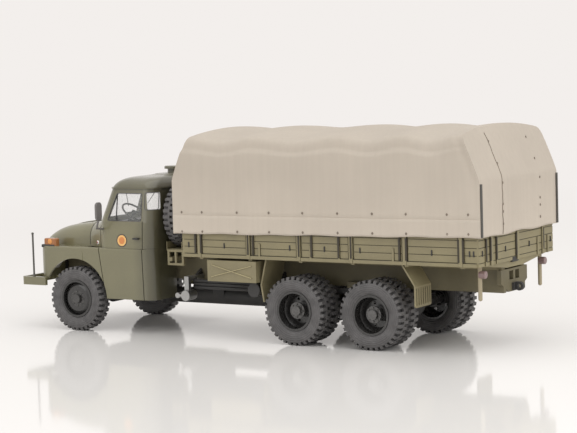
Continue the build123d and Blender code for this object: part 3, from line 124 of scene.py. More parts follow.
def back_wall(height):
    """Distance of the cab's back wall behind the axle at a height: upright, then leaning in."""
    return CAB_REAR - BACK_LEAN * ramp(height, *SCREEN_HEIGHTS)


def colour(name, default):
    """A colour property in linear values."""
    return FloatVectorProperty(
        name=name, description=name + " before wear", subtype="COLOR", size=3, min=0, max=1, default=default
    )


def length(name, default, description):
    """A length property in metres, given in millimetres."""
    return FloatProperty(
        name=name, description=description, subtype="DISTANCE", unit="LENGTH", default=default * MM
    )


class TruckSizes(bpy.types.PropertyGroup):
    """Sizes of the tilt, its fastenings and the trim."""

    tilt_sag: length("Tilt sag", 0.85, "Drop of the tilt's roof between two hoops")
    tilt_wall: length("Tilt wall", 0.5, "Thickness of the tilt's sheet")
    edge_sag: length("Edge sag", 1.9, "Drop of the roof's edges between two hoops")
    hem_wave: length("Hem wave", 0.4, "Rise and fall of the tilt's hem")
    shoulder: length("Shoulder height", 66.4, "Height where the tilt's sides step in over their rail")
    ledge: length("Ledge", 0.9, "Step inwards of the tilt's sides over their rail")
    rise: length("Tilt rise", 0.8, "Rise of the tilt from its front to its rear")
    hem_rise: length("Hem rise", 1.5, "Rise of the hem from the tilt's front to its rear")
    band: length("Hem band", 44.6, "Height of the seam over the tilt's doubled hem")
    pinch: length("Pinch", 0.45, "Drawing in of the tilt's sides just ahead of the rear hoop")
    eave: length("Eave height", 57.0, "Height where the tilt's ends begin to lean")
    hip: length("Hip run", 7.5, "Run of the tilt's leaning ends")
    eyelet: length("Eyelet radius", 0.42, "Radius of the tilt's eyelets")
    gasket: length("Gasket radius", 0.16, "Radius of the rubber round the panes")
    nut: length("Wheel nut radius", 0.34, "Radius of a wheel nut across its corners")
    nut_count: IntProperty(name="Wheel nuts", description="Nuts on each wheel", default=8, min=3, max=16)
    front_nut_ring: length("Front nut ring", 2.6, "Radius of the ring of nuts on a front wheel")
    rear_nut_ring: length("Rear nut ring", 2.3, "Radius of the ring of nuts on a rear wheel")
    roundel: length("Roundel radius", 2.4, "Radius of the plain roundel on a door")


class TruckColours(bpy.types.PropertyGroup):
    """Colours of the finishes."""

    cab_paint: colour("Cab paint", (0.158, 0.146, 0.078))
    bed_paint: colour("Bed paint", (0.225, 0.195, 0.112))
    canvas: colour("Canvas", (0.470, 0.415, 0.350))
    eyelet: colour("Eyelet", (0.200, 0.165, 0.130))
    rubber: colour("Rubber", (0.077, 0.074, 0.074))
    rim_paint: colour("Rim paint", (0.024, 0.023, 0.022))
    hub_paint: colour("Hub paint", (0.092, 0.089, 0.085))
    running_gear: colour("Running gear", (0.030, 0.029, 0.028))
    steel: colour("Steel", (0.480, 0.480, 0.470))
    interior: colour("Interior", (0.360, 0.345, 0.350))
    post_paint: colour("Lamp post paint", (0.340, 0.290, 0.195))
    # Dark colour of the painted shadows beside the bed's posts
    post_shadow_colour: colour("Post shadow colour", (0.036, 0.030, 0.019))
    fittings: colour("Grey fittings", (0.080, 0.076, 0.068))
    mirror: colour("Mirror back", (0.150, 0.140, 0.135))
    amber: colour("Amber lens", (0.330, 0.135, 0.050))
    bulb: colour("Amber bulb", (0.640, 0.270, 0.070))
    red_lens: colour("Tail lens", (0.200, 0.130, 0.125))
    pane: colour("Window pane", (0.800, 0.820, 0.800))
    white_lens: colour("White lens", (0.750, 0.720, 0.690))
    marker: colour("Marker lens", (0.250, 0.045, 0.035))
    roundel_rim: colour("Roundel rim", (0.050, 0.045, 0.045))
    roundel_band: colour("Roundel band", (0.780, 0.460, 0.160))
    roundel_middle: colour("Roundel middle", (0.620, 0.230, 0.070))
    floor: colour("Floor", (0.830, 0.812, 0.790))
    background: colour("Background", (0.896, 0.862, 0.838))


# Surfaces worked out as whole arrays


def grid_faces(rows, columns, close_rows=False, close_columns=False):
    """Quads of a grid of points numbered row by row, with either way joined up on request."""
    index = np.arange(rows * columns).reshape(rows, columns)
    if close_rows:
        index = np.vstack([index, index[:1]])
    if close_columns:
        index = np.hstack([index, index[:, :1]])
    corners = [index[:-1, :-1], index[:-1, 1:], index[1:, 1:], index[1:, :-1]]
    return np.stack(corners, axis=-1).reshape(-1, 4)


def lathe(profile, centre, axis, sides):
    """Surface of revolution: each (place along the axis, radius) of the profile carried round a circle."""
    profile = np.asarray(profile, float)
    turn = np.linspace(0, 2 * np.pi, sides, endpoint=False)
    axis = np.asarray(axis, float) / np.linalg.norm(axis)
    first = np.cross(axis, (0.0, 0.0, 1.0) if abs(axis[2]) < 0.9 else (1.0, 0.0, 0.0))
    first /= np.linalg.norm(first)
    second = np.cross(axis, first)
    round_way = np.cos(turn)[:, None] * first + np.sin(turn)[:, None] * second
    points = profile[:, 0, None, None] * axis + profile[:, 1, None, None] * round_way[None]
    points = points.reshape(-1, 3) + np.asarray(centre, float)
    return points, grid_faces(len(profile), sides, close_columns=True)


def tube(path, radius, sides=8, closed=False):
    """Circle carried along a path: at each point the ring stands square to the path's own direction."""
    path = np.asarray(path, float)
    if closed:
        along = np.roll(path, -1, 0) - np.roll(path, 1, 0)
    else:
        along = np.gradient(path, axis=0)
    along /= np.linalg.norm(along, axis=1, keepdims=True)
    spread = np.ptp(path, axis=0)
    flat = np.eye(3)[np.argmin(spread)]
    first = np.cross(along, flat)
    first /= np.maximum(np.linalg.norm(first, axis=1, keepdims=True), 1e-9)
    second = np.cross(along, first)
    turn = np.linspace(0, 2 * np.pi, sides, endpoint=False)
    ring = np.cos(turn)[None, :, None] * first[:, None] + np.sin(turn)[None, :, None] * second[:, None]
    radii = np.full(len(path), radius)
    if not closed:
        path = np.vstack([path[:1], path, path[-1:]])
        ring = np.concatenate([ring[:1], ring, ring[-1:]])
        radii = np.concatenate([[0.0], radii, [0.0]])
    points = path[:, None] + radii[:, None, None] * ring
    return points.reshape(-1, 3), grid_faces(len(path), sides, close_rows=closed, close_columns=True)


def rounded_block(low, high, radius, steps=4):
    """Box with rounded edges: a ball's points, each octant pushed out to its own corner of the box."""
    low, high = np.asarray(low, float), np.asarray(high, float)
    radius = min(radius, 0.49 * np.min(high - low))
    quarter = np.linspace(0, np.pi / 2, steps)
    up = np.concatenate([quarter - np.pi / 2, quarter])
    turn = np.concatenate([quarter + i * np.pi / 2 for i in range(4)])
    up_sign = np.repeat([-1.0, 1.0], steps)
    x_sign = np.repeat([1.0, -1.0, -1.0, 1.0], steps)
    y_sign = np.repeat([1.0, 1.0, -1.0, -1.0], steps)
    half = (high - low) / 2 - radius
    x = radius * np.cos(up)[:, None] * np.cos(turn) + x_sign * half[0]
    y = radius * np.cos(up)[:, None] * np.sin(turn) + y_sign * half[1]
    z = (radius * np.sin(up) + up_sign * half[2])[:, None] + np.zeros_like(x)
    points = np.stack([x, y, z], axis=-1).reshape(-1, 3) + (low + high) / 2
    rows, columns = x.shape
    faces = grid_faces(rows, columns, close_columns=True)
    base = np.arange(columns)
    caps = [base[::-1], base + (rows - 1) * columns]
    return points, faces, caps


def block_at(spot, reach, radius):
    """Rounded block that reaches the same way to both sides of a spot, in millimetres."""
    reach = np.asarray(reach) * MM
    return rounded_block(spot - reach, spot + reach, radius * MM, 3)


def rounded_outline(corners, radius, steps=5):
    """Closed polygon with each corner replaced by a quadratic curve that starts and ends a radius away."""
    corners = np.asarray(corners, float)
    before = np.roll(corners, 1, 0) - corners
    after = np.roll(corners, -1, 0) - corners
    start = corners + radius * before / np.linalg.norm(before, axis=1, keepdims=True)
    end = corners + radius * after / np.linalg.norm(after, axis=1, keepdims=True)
    t = np.linspace(0, 1, steps)[None, :, None]
    curve = (1 - t) ** 2 * start[:, None] + 2 * t * (1 - t) * corners[:, None] + t**2 * end[:, None]
    return curve.reshape(-1, 2)


def dense(outline, step):
    """Closed outline with points added so that no run is longer than a step."""
    runs = np.linalg.norm(np.roll(outline, -1, 0) - outline, axis=1)
    places = np.concatenate([[0], np.cumsum(runs)])
    at = np.linspace(0, places[-1], max(int(places[-1] / step), 12), endpoint=False)
    closed = np.vstack([outline, outline[:1]])
    return np.stack([np.interp(at, places, closed[:, 0]), np.interp(at, places, closed[:, 1])], axis=1)


def make_piece(name, shells, material, body, replaces=(), sharp=0.6):
    """One mesh object from shells of points and faces, with doubles merged and faces turned outwards."""
    points, faces, start = [], [], 0
    for shell in shells:
        points.append(np.asarray(shell[0], float))
        for group in shell[1:]:
            faces += (np.asarray(group) + start).tolist()
        start += len(shell[0])
    mesh = bpy.data.meshes.new(name)
    mesh.from_pydata(np.vstack(points).tolist(), [], faces)
    work = bmesh.new()
    work.from_mesh(mesh)
    bmesh.ops.remove_doubles(work, verts=work.verts, dist=1e-7)
    bmesh.ops.dissolve_degenerate(work, edges=work.edges, dist=1e-8)
    bmesh.ops.recalc_face_normals(work, faces=work.faces)
    work.to_mesh(mesh)
    work.free()
    mesh.polygons.foreach_set("use_smooth", np.ones(len(mesh.polygons), bool))
    mesh.set_sharp_from_angle(angle=sharp)
    mesh.materials.append(material)
    piece = bpy.data.objects.new(name, mesh)
    bpy.context.scene.collection.objects.link(piece)
    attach(piece, body)
    if replaces:
        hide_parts(*replaces)
    return piece


# Finishes


def new_group(name, inputs, outputs):
    """Empty shader node group with named sockets; returns its tree and its input and output nodes."""
    tree = bpy.data.node_groups.new(name, "ShaderNodeTree")
    for socket, kind in inputs:
        tree.interface.new_socket(name=socket, in_out="INPUT", socket_type=kind)
    for socket, kind in outputs:
        tree.interface.new_socket(name=socket, in_out="OUTPUT", socket_type=kind)
    return tree, tree.nodes.new("NodeGroupInput"), tree.nodes.new("NodeGroupOutput")


def noise(tree, vector, scale, detail):
    """Noise texture on given coordinates."""
    node = tree.nodes.new("ShaderNodeTexNoise")
    node.inputs["Scale"].default_value = scale
    node.inputs["Detail"].default_value = detail
    tree.links.new(vector, node.inputs["Vector"])
    return node.outputs["Fac"]


def span(tree, value, low, high, to_low, to_high):
    """Value carried from one range to another, held at its ends."""
    node = tree.nodes.new("ShaderNodeMapRange")
    for socket, number in (("From Min", low), ("From Max", high), ("To Min", to_low), ("To Max", to_high)):
        node.inputs[socket].default_value = number
    tree.links.new(value, node.inputs["Value"])
    return node.outputs["Result"]


def math(tree, operation, *values):
    """Math node on sockets or plain numbers."""
    node = tree.nodes.new("ShaderNodeMath")
    node.operation = operation
    for socket, value in zip(node.inputs, values):
        if isinstance(value, (int, float)):
            socket.default_value = value
        else:
            tree.links.new(value, socket)
    return node.outputs[0]


def vector_math(tree, operation, *values):
    """Vector Math node on sockets or plain vectors."""
    node = tree.nodes.new("ShaderNodeVectorMath")
    node.operation = operation
    for socket, value in zip(node.inputs, values):
        if isinstance(value, tuple):
            socket.default_value = value
        else:
            tree.links.new(value, socket)
    return node


def blend(tree, factor, first, second):
    """Colour mixed from first to second by a factor."""
    node = tree.nodes.new("ShaderNodeMix")
    node.data_type = "RGBA"
    tree.links.new(factor, node.inputs["Factor"])
    tree.links.new(first, node.inputs[6])
    tree.links.new(second, node.inputs[7])
    return node.outputs[2]


def relief(tree, height, distance):
    """Normal bent by a height."""
    node = tree.nodes.new("ShaderNodeBump")
    node.inputs["Strength"].default_value = 1.0
    node.inputs["Distance"].default_value = distance
    tree.links.new(height, node.inputs["Height"])
    return node.outputs["Normal"]


def crevice(tree, reach):
    """Share of light that comes in to a spot past the piece's own neighbouring faces, over a reach."""
    node = tree.nodes.new("ShaderNodeAmbientOcclusion")
    node.samples = 12
    node.only_local = True
    node.inputs["Distance"].default_value = reach
    return node.outputs["AO"]


def worn(tree, source, *shares):
    """Base colour blended towards the worn one by the sum of some shares."""
    total = shares[0]
    for share in shares[1:]:
        total = math(tree, "ADD", total, share)
    return blend(tree, total, source.outputs["Base"], source.outputs["Worn"])


def scaled(tree, tone, share):
    """Colour times a share."""
    node = vector_math(tree, "SCALE", tone)
    tree.links.new(share, node.inputs["Scale"])
    return node.outputs["Vector"]


def shaded_in_corners(tree, tone, reach, low, high, darkest):
    """Painted shade in corners: colour scaled from its darkest share up to one as more light comes in."""
    return scaled(tree, tone, span(tree, crevice(tree, reach), low, high, darkest, 1.0))


def parts_of(tree, place):
    """Separate x, y and z of a place."""
    node = tree.nodes.new("ShaderNodeSeparateXYZ")
    tree.links.new(place, node.inputs["Vector"])
    return node.outputs


def axle_reach(tree, source, place):
    """Distance of a spot from its wheel's axle: its offset with the part along the axle taken out."""
    offset = vector_math(tree, "SUBTRACT", place, source.outputs["Axle"]).outputs["Vector"]
    flat = vector_math(tree, "MULTIPLY", offset, source.outputs["Spread"]).outputs["Vector"]
    return vector_math(tree, "LENGTH", flat).outputs["Value"]


COLOURS_IN = (("Base", "NodeSocketColor"), ("Worn", "NodeSocketColor"))
FINISH_OUT = (
    ("Colour", "NodeSocketColor"),
    ("Roughness", "NodeSocketFloat"),
    ("Normal", "NodeSocketVector"),
)
THREADS = 14000.0
UPRIGHT_STREAKS = (1.0, 1.0, 0.04)
DUST_RISE = (0.038, 0.060)
# Painted shade on the cab: a painted shadow round its back wall and darker paint up to its roof, as runs in
# millimetres and darkest shares
BACK_SHADOW_RUN = (0.5, 9.0)
BACK_SHADOW_TONE = 0.36
ROOF_SHADE_RUN = (20.0, 4.0)
ROOF_SHADE_TONE = 0.58


def finish_group(name, build, extra=()):
    """Node group made once: base and worn colours in, varying colour, roughness and normal out."""
    if name in bpy.data.node_groups:
        return bpy.data.node_groups[name]
    tree, source, result = new_group(name, COLOURS_IN + tuple(extra), FINISH_OUT)
    place = tree.nodes.new("ShaderNodeTexCoord").outputs["Object"]
    for (socket, _), value in zip(FINISH_OUT, build(tree, source, place)):
        tree.links.new(value, result.inputs[socket])
    return tree


def sprayed(tree, source, place):
    """Sprayed enamel: slow drift of tone, fine dust grain, painted shade in corners and hollows, faint orange
    peel.
    """
    drift = noise(tree, place, 55.0, 3.0)
    grain = noise(tree, place, 2600.0, 2.0)
    patches = span(tree, drift, 0.35, 0.7, 0.0, 0.55)
    specks = span(tree, grain, 0.45, 0.75, 0.0, 0.35)
    tone = worn(tree, source, patches, specks)
    # Painted shade: darker where the piece's own faces shut out light, in tight corners and over a longer
    # reach
    tone = shaded_in_corners(tree, tone, 0.0006, 0.45, 0.9, 0.5)
    tone = shaded_in_corners(tree, tone, 0.0120, 0.2, 0.55, 0.6)
    return tone, span(tree, grain, 0.3, 0.7, 0.40, 0.54), relief(tree, grain, 0.00003)


def sprayed_painted_shade(tree, source, place):
    """Sprayed enamel of the cab with painted shade: darker up to the roof, and a painted shadow round the
    back wall.
    """
    low, high = node_box("cab_shell")
    tone, roughness, normal = sprayed(tree, source, place)
    parts = parts_of(tree, place)
    shadow_start, shadow_end = low[0] + np.array(BACK_SHADOW_RUN) * MM
    roof_start, roof_end = high[2] - np.array(ROOF_SHADE_RUN) * MM
    # Painted shadow round the back wall, painted shade towards the roof
    back_shadow = span(tree, parts["X"], shadow_start, shadow_end, BACK_SHADOW_TONE, 1.0)
    rise = span(tree, parts["Z"], roof_start, roof_end, 1.0, ROOF_SHADE_TONE)
    return scaled(tree, tone, math(tree, "MINIMUM", back_shadow, rise)), roughness, normal


def moulded(tree, source, place):
    """Moulded plastic: broad soft shading, a fine matt grain and painted shade in the corners."""
    drift = noise(tree, place, 130.0, 4.0)
    grain = noise(tree, place, 3800.0, 1.0)
    patches = span(tree, drift, 0.35, 0.75, 0.0, 0.7)
    specks = span(tree, grain, 0.5, 0.8, 0.0, 0.3)
    tone = worn(tree, source, patches, specks)
    # Painted shade in tight corners and grooves
    tone = shaded_in_corners(tree, tone, 0.0006, 0.45, 0.85, 0.22)
    return tone, span(tree, drift, 0.3, 0.7, 0.5, 0.66), relief(tree, grain, 0.00004)


def enamelled(tree, source, place):
    """Gloss enamel of a wheel: dark paint with a fine grain, rubbed to a paler tone near the axle."""
    grain = noise(tree, place, 500.0, 2.0)
    near = span(tree, axle_reach(tree, source, place), 0.0029, 0.0031, 1.0, 0.0)
    rubbed = math(tree, "MULTIPLY", near, span(tree, grain, 0.3, 0.7, 0.55, 1.0))
    tone = worn(tree, source, rubbed)
    # Painted shade in the wheel's own corners
    tone = shaded_in_corners(tree, tone, 0.0008, 0.4, 0.9, 0.4)
    return tone, span(tree, grain, 0.3, 0.7, 0.18, 0.32), relief(tree, grain, 0.000006)


def woven(tree, source, place):
    """Canvas: crossed threads along the truck and round it, slow stains, and dust thinning upwards."""
    parts = parts_of(tree, place)
    across = math(tree, "ADD", parts["Y"], parts["Z"])
    warp = math(tree, "SINE", math(tree, "MULTIPLY", parts["X"], THREADS))
    weft = math(tree, "SINE", math(tree, "MULTIPLY", across, THREADS))
    thread = math(tree, "MULTIPLY", warp, weft)
    stretched = vector_math(tree, "MULTIPLY", place, UPRIGHT_STREAKS).outputs["Vector"]
    slub = noise(tree, stretched, 700.0, 2.0)
    stain = noise(tree, place, 42.0, 4.0)
    mottle = noise(tree, place, 900.0, 3.0)
    stains = span(tree, stain, 0.35, 0.7, 0.0, 0.3)
    streaks = span(tree, slub, 0.35, 0.7, 0.0, 0.16)
    dust = span(tree, parts["Z"], *DUST_RISE, 0.6, 0.0)
    tone = worn(tree, source, stains, streaks, dust)
    return tone, span(tree, mottle, 0.3, 0.7, 0.78, 0.92), relief(tree, thread, 0.00002)


def ringed(tree, source, place):
    """Rubber: fine moulding rings round the axle on the walls, and dust in patches."""
    ring = math(tree, "SINE", math(tree, "MULTIPLY", axle_reach(tree, source, place), 9000.0))
    dust = noise(tree, place, 380.0, 4.0)
    patches = span(tree, dust, 0.35, 0.7, 0.0, 0.7)
    crests = span(tree, ring, 0.4, 1.0, 0.0, 0.3)
    tone = worn(tree, source, patches, crests)
    return tone, span(tree, dust, 0.3, 0.7, 0.55, 0.75), relief(tree, ring, 0.00005)


def glazed(tree, source, place):
    """Clear plastic: a smooth face with a faint smear in its gloss and no relief."""
    smear = noise(tree, place, 160.0, 2.0)
    tone = worn(tree, source, smear)
    return tone, span(tree, smear, 0.3, 0.7, 0.03, 0.08), relief(tree, smear, 0.000002)


WHEEL_IN = (("Axle", "NodeSocketVector"), ("Spread", "NodeSocketVector"))
FINISHES = {
    "glazed": (glazed, ()),
    "sprayed": (sprayed, ()),
    "sprayed_painted_shade": (sprayed_painted_shade, ()),
    "moulded": (moulded, ()),
    "woven": (woven, ()),
    "enamelled": (enamelled, WHEEL_IN),
    "ringed": (ringed, WHEEL_IN),
}
ACROSS = (1, 0, 1)
ENDWISE = (0, 1, 1)
COAT_ROUGHNESS = 0.14


def finish(name, kind, base, lighter=1.25, metallic=0.0, coat=0.0, alpha=1.0, axle=None, spread=ACROSS):
    """Material from a shared group: a base colour, a worn multiple of it and constant shader values."""
    if name in bpy.data.materials:
        return bpy.data.materials[name]
    build, extra = FINISHES[kind]
    material = bpy.data.materials.new(name)
    material.use_nodes = True
    tree = material.node_tree
    shader = tree.nodes["Principled BSDF"]
    group = tree.nodes.new("ShaderNodeGroup")
    group.node_tree = finish_group(kind, build, extra)
    base = np.array(base[:3])
    group.inputs["Base"].default_value = (*base, 1)
    group.inputs["Worn"].default_value = (*np.clip(base * lighter, 0, 1), 1)
    if axle is not None:
        group.inputs["Axle"].default_value = axle
        group.inputs["Spread"].default_value = spread
    tree.links.new(group.outputs["Colour"], shader.inputs["Base Color"])
    tree.links.new(group.outputs["Roughness"], shader.inputs["Roughness"])
    tree.links.new(group.outputs["Normal"], shader.inputs["Normal"])
    shader.inputs["Metallic"].default_value = metallic
    shader.inputs["Coat Weight"].default_value = coat
    shader.inputs["Coat Roughness"].default_value = COAT_ROUGHNESS
    shader.inputs["Alpha"].default_value = alpha
    return material


def colours():
    """The colour settings of this scene."""
    return bpy.context.scene.truck_colours


def sizes():
    """The size settings of this scene."""
    return bpy.context.scene.truck_sizes


def cab_paint():
    """Satin enamel of the metal cab."""
    return finish("cab_paint", "sprayed", colours().cab_paint, 1.3, coat=0.9)


def bed_paint():
    """Matt green plastic of the bed."""
    return finish("bed_paint", "moulded", colours().bed_paint, 1.3)


def canvas():
    """Dusty cloth of the tilt."""
    return finish("canvas", "woven", colours().canvas, 1.22)


def black_trim():
    """Dull black plastic of the small fittings."""
    return finish("black_trim", "moulded", colours().running_gear, 1.8)


def grey_fittings():
    """Satin dark grey of the rods."""
    return finish("grey_fittings", "moulded", colours().fittings, 1.4)


def bright_steel():
    """Plated steel."""
    return finish("bright_steel", "sprayed", colours().steel, 1.2, metallic=1.0)


def lens(name, tint):
    """Glossy tinted lens."""
    return finish(name, "glazed", tint, 1.15)


class TRUCK_OT_finishes(bpy.types.Operator):
    """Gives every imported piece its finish"""

    bl_idname = "truck.finishes"
    bl_label = "Finish the Pieces"

    def execute(self, context):
        paint = colours()
        # Cab shell paint with a painted shadow round its back wall and painted shade up to its roof
        shell = finish("shell_paint", "sprayed_painted_shade", paint.cab_paint, 1.3, coat=0.9)
        inside = finish("cab_inside", "moulded", paint.interior, 1.4)
        frame_green = finish("frame_green", "moulded", np.array(paint.bed_paint) * 0.52, 1.4)
        valve_steel = finish("valve_steel", "sprayed", np.array(paint.steel) * 0.8, 1.3, metallic=1.0)
        clear = finish("clear_pane", "glazed", paint.pane, 1.05, alpha=0.10)
        by_node = {
            cab_paint(): ("bonnet", "front_wings", "front_bumper"),
            shell: ("cab_shell", "roof_vent"),
            bed_paint(): (
                "bed_floor", "headboard", "bed_side_left", "bed_side_right", "tailgate",
                "stowage_box", "fuel_tank", "mudguards", "spare_carrier",
            ),
            finish("post_paint", "moulded", paint.post_paint, 1.2): ("lamp_posts",),
            frame_green: ("chassis_frame",),
            black_trim(): (
                "backbone", "engine", "rear_springs", "air_tank", "grille", "tow_hook", "door_handles",
            ),
            grey_fittings(): ("tilt_rods", "width_rods", "steering_wheel"),
            finish("mirror_back", "moulded", paint.mirror, 1.3): ("mirrors",),
            bright_steel(): ("front_axle_rod", "mid_axle_rod", "rear_axle_rod"),
            valve_steel: ("brake_valves",),
            inside: ("cab_floor", "dashboard", "seats"),
            clear: ("cab_glazing",),
            lens("headlamp_lens", paint.white_lens): ("headlamps",),
            lens("indicator_lens", paint.amber): ("indicators",),
            finish("tail_lens", "moulded", paint.red_lens, 1.4, coat=0.6): ("tail_lamps",),
            canvas(): ("tilt",),
        }
        wheels = [(axle, axle + "_tyres", axle + "_rims", ACROSS) for axle in AXLES]
        wheels.append(("spare", "spare_tyre", "spare_rim", ENDWISE))
        rim = np.array(paint.rim_paint)
        for name, tyre, disc, spread in wheels:
            middle = tuple(sum(node_box(tyre)) / 2)
            paler = 2.2 if name in ("front", "spare") else np.array(paint.hub_paint) / rim
            rubber = finish(name + "_rubber", "ringed", paint.rubber, 1.9, axle=middle, spread=spread)
            enamel = finish(name + "_enamel", "enamelled", rim, paler, coat=0.4, axle=middle, spread=spread)
            by_node[rubber] = (tyre,)
            by_node[enamel] = (disc,)
        for material, nodes in by_node.items():
            for node in nodes:
                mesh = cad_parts[node].data
                mesh.materials.clear()
                mesh.materials.append(material)
        bare = [name for name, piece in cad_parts.items() if not piece.data.materials]
        if bare:
            raise RuntimeError("no finish for " + ", ".join(bare))
        return {"FINISHED"}


# Tilt

BOWS = (56.2, 82.4, 116.4, 142.5)
EYELETS = (52.5, 61.3, 76.3, 89.7, 103.5, 117.5, 131.1, 144.1, 159.5, 167.3)
EYELET_ROWS = ((45.8, 47.1), (38.9, 40.7))
REAR_SEAMS = (13.0, -15.2)
REAR_EYELETS = (42.8, 46.9, 49.4, 56.4, 62.8, 70.1)
EYELET_ASIDE = 0.35
SIDE_TIE = np.array([0.12, 0.14, 0.5])
REAR_TIE = np.array([0.18, 0.2, 0.42])
TIE_ROUND = 0.1
FLAP_EDGE = (39.5, 73.0)
FLAP_EDGE_RADIUS = 0.12
TILT_EDGE_IN = 2.8
TILT_EDGE_DROP = 2.5
BAND_STEP = 0.1
SEAM_HALF = 0.15
SEAM_DEPTH = 0.09
LEDGE_RISE = 2.4
REAR_SWELL = 0.12
PINCH_AHEAD = 2.4
PINCH_LENGTH = 1.6
LEDGE_FADE = (8.0, 18.0)


def tilt_section():
    """Half section of the tilt, from the left hem to the middle of the roof, as (y, z).

    The wall goes straight up, steps in over its rail by a ledge, goes up again, turns in by a cubic
    curve at the roof's edge and ends in a parabola.
    """
    size = sizes()
    low, high = node_box("tilt")
    half, top = high[1], high[2]
    edge, edge_z = half - TILT_EDGE_IN * MM, top - TILT_EDGE_DROP * MM
    seam = size.band + np.array([-1.6, -0.6, 0.6, 1.6]) * SEAM_HALF * MM
    wall = np.concatenate([
        np.linspace(low[2], seam[0], 8)[:-1], seam, np.linspace(seam[-1], size.eave, 9)[1:],
        np.linspace(size.eave, size.shoulder, 8)[1:],
    ])
    inner = half - size.ledge
    t = np.linspace(0, 1, 7)[1:, None]
    ledge = np.hstack([half - size.ledge * (3 * t**2 - 2 * t**3), size.shoulder + LEDGE_RISE * MM * t])
    t = np.linspace(0, 1, 11)[1:, None]
    pulls = np.array([
        ledge[-1],
        (inner - 0.1 * MM, edge_z - 0.4 * MM),
        (edge + 0.6 * MM, edge_z),
        (edge - 1.6 * MM, edge_z + 0.4 * MM),
    ])
    turn_in = np.hstack([(1 - t) ** 3, 3 * t * (1 - t) ** 2, 3 * t**2 * (1 - t), t**3]) @ pulls
    roof_y = np.linspace(turn_in[-1, 0], 0, 13)[1:]
    roof_z = top - (top - turn_in[-1, 1]) * (roof_y / turn_in[-1, 0]) ** 2
    upright = np.stack([np.full_like(wall, half), wall], axis=1)
    roof = np.stack([roof_y, roof_z], axis=1)
    return np.vstack([upright, ledge, turn_in, roof])


def tilt_end(height):
    """Lean of the tilt's ends at a height: none below the eave, then a straight run in to the hip."""
    top = node_box("tilt")[1][2]
    return sizes().hip * ramp(height, sizes().eave, top) ** 1.1


def tilt_shape():
    """Grid of the tilt's skin, section by section from the rear.

    Between hoops the roof sags by the square of a sine, most at its edges, and its shoulders draw in with
    it. The ledge fades out towards the rear hoop. The doubled hem stands out by a small step, the wall
    ripples by two sines that fade upwards, and the whole rises a little to the rear. Just ahead of the
    rear hoop the sides are drawn in by a bell curve.
    """
    size = sizes()
    low, high = node_box("tilt")
    left = tilt_section()
    section = np.vstack([left, (left * (-1, 1))[-2::-1]])
    height = section[:, 1]
    side = np.sign(section[:, 0])

    along = np.linspace(0, 1, 201) ** 1.15
    ends = tilt_end(height)
    front, rear = high[0] - ends, low[0] + ends
    x = rear + along[:, None] * (front - rear)

    hoops = np.concatenate([[low[0] + size.hip], behind(BOWS)[::-1], [high[0]]])
    gap = np.clip(np.searchsorted(hoops, x) - 1, 0, len(hoops) - 2)
    share = np.clip((x - hoops[gap]) / (hoops[gap + 1] - hoops[gap]), 0, 1)
    sag = np.sin(np.pi * share) ** 2 * (gap < len(hoops) - 2)
    roof = ramp(height, size.shoulder - 7 * MM, size.shoulder + 3 * MM)
    upper = ramp(height, 48 * MM, size.eave) * (height < high[2] - 0.8 * TILT_EDGE_DROP * MM)
    hem = 1 - ramp(height, low[2], size.eave)

    ripple = np.sin(x * 430.0) + 0.6 * np.sin(x * 1010.0 + 1.0)
    pinch = np.exp(-(((x - rear - PINCH_AHEAD * MM) / (PINCH_LENGTH * MM)) ** 2)) * upper
    inwards = 0.1 * MM * (1.6 - ripple) * hem**1.5 * np.sin(np.pi * along)[:, None] ** 0.5
    groove = SEAM_DEPTH * MM * (np.abs(height - size.band) < SEAM_HALF * MM)
    inwards = inwards + groove - BAND_STEP * MM * (height < size.band)
    inwards = inwards + size.pinch * pinch + 0.3 * MM * sag * roof
    stepped = ramp(height, size.shoulder, size.shoulder + LEDGE_RISE * MM) * np.abs(section[:, 0]) / high[1]
    inwards = inwards - size.ledge * stepped * (1 - ramp(x - low[0], *np.array(LEDGE_FADE) * MM))
    y = section[:, 0] - side * inwards

    back = ramp(x, high[0], low[0])
    wave = 0.3 * np.sin(x * 330.0 + 0.6) + 0.2 * np.sin(x * 140.0)
    drop = size.tilt_sag + (size.edge_sag - size.tilt_sag) * (section[:, 0] / high[1]) ** 4
    z = height - drop * sag * roof + size.rise * back * (1 - hem)
    z = z + (size.hem_wave * wave + size.hem_rise * back) * hem**3
    return np.stack([x, y, z], axis=-1)


def end_panel(edge, bulge, columns=41):
    """Panel between the two edges of an end section: straight across, with a slight outward swell."""
    half = (len(edge) + 1) // 2
    left, right = edge[:half], edge[::-1][:half]
    t = np.linspace(0, 1, columns)
    points = left[:, None] * (1 - t)[None, :, None] + right[:, None] * t[None, :, None]
    points[..., 0] += bulge * np.sin(np.pi * t)[None] * np.sin(np.linspace(0, np.pi, half))[:, None]
    hem = np.linspace(1, 0, half) ** 6
    points[..., 2] += 0.35 * MM * hem[:, None] * (np.sin(5 * np.pi * t) * np.sin(np.pi * t))[None]
    return points


class TRUCK_OT_tilt(bpy.types.Operator):
    """Builds the moulded tilt with its sagging roof and wavy hem"""

    bl_idname = "truck.tilt"
    bl_label = "Build the Tilt"

    def execute(self, context):
        shell = tilt_shape()
        rows, columns = shell.shape[:2]
        rear = end_panel(shell[0], -REAR_SWELL * MM)
        front = end_panel(shell[-1], REAR_SWELL * MM)
        shells = [(shell.reshape(-1, 3), grid_faces(rows, columns))]
        for panel in (rear, front):
            shells.append((panel.reshape(-1, 3), grid_faces(*panel.shape[:2])))
        piece = make_piece("tilt_cover", shells, canvas(), TRUCK, ("tilt",), sharp=0.9)
        wall = piece.modifiers.new("sheet", "SOLIDIFY")
        wall.thickness = sizes().tilt_wall
        wall.offset = -1.0
        return {"FINISHED"}


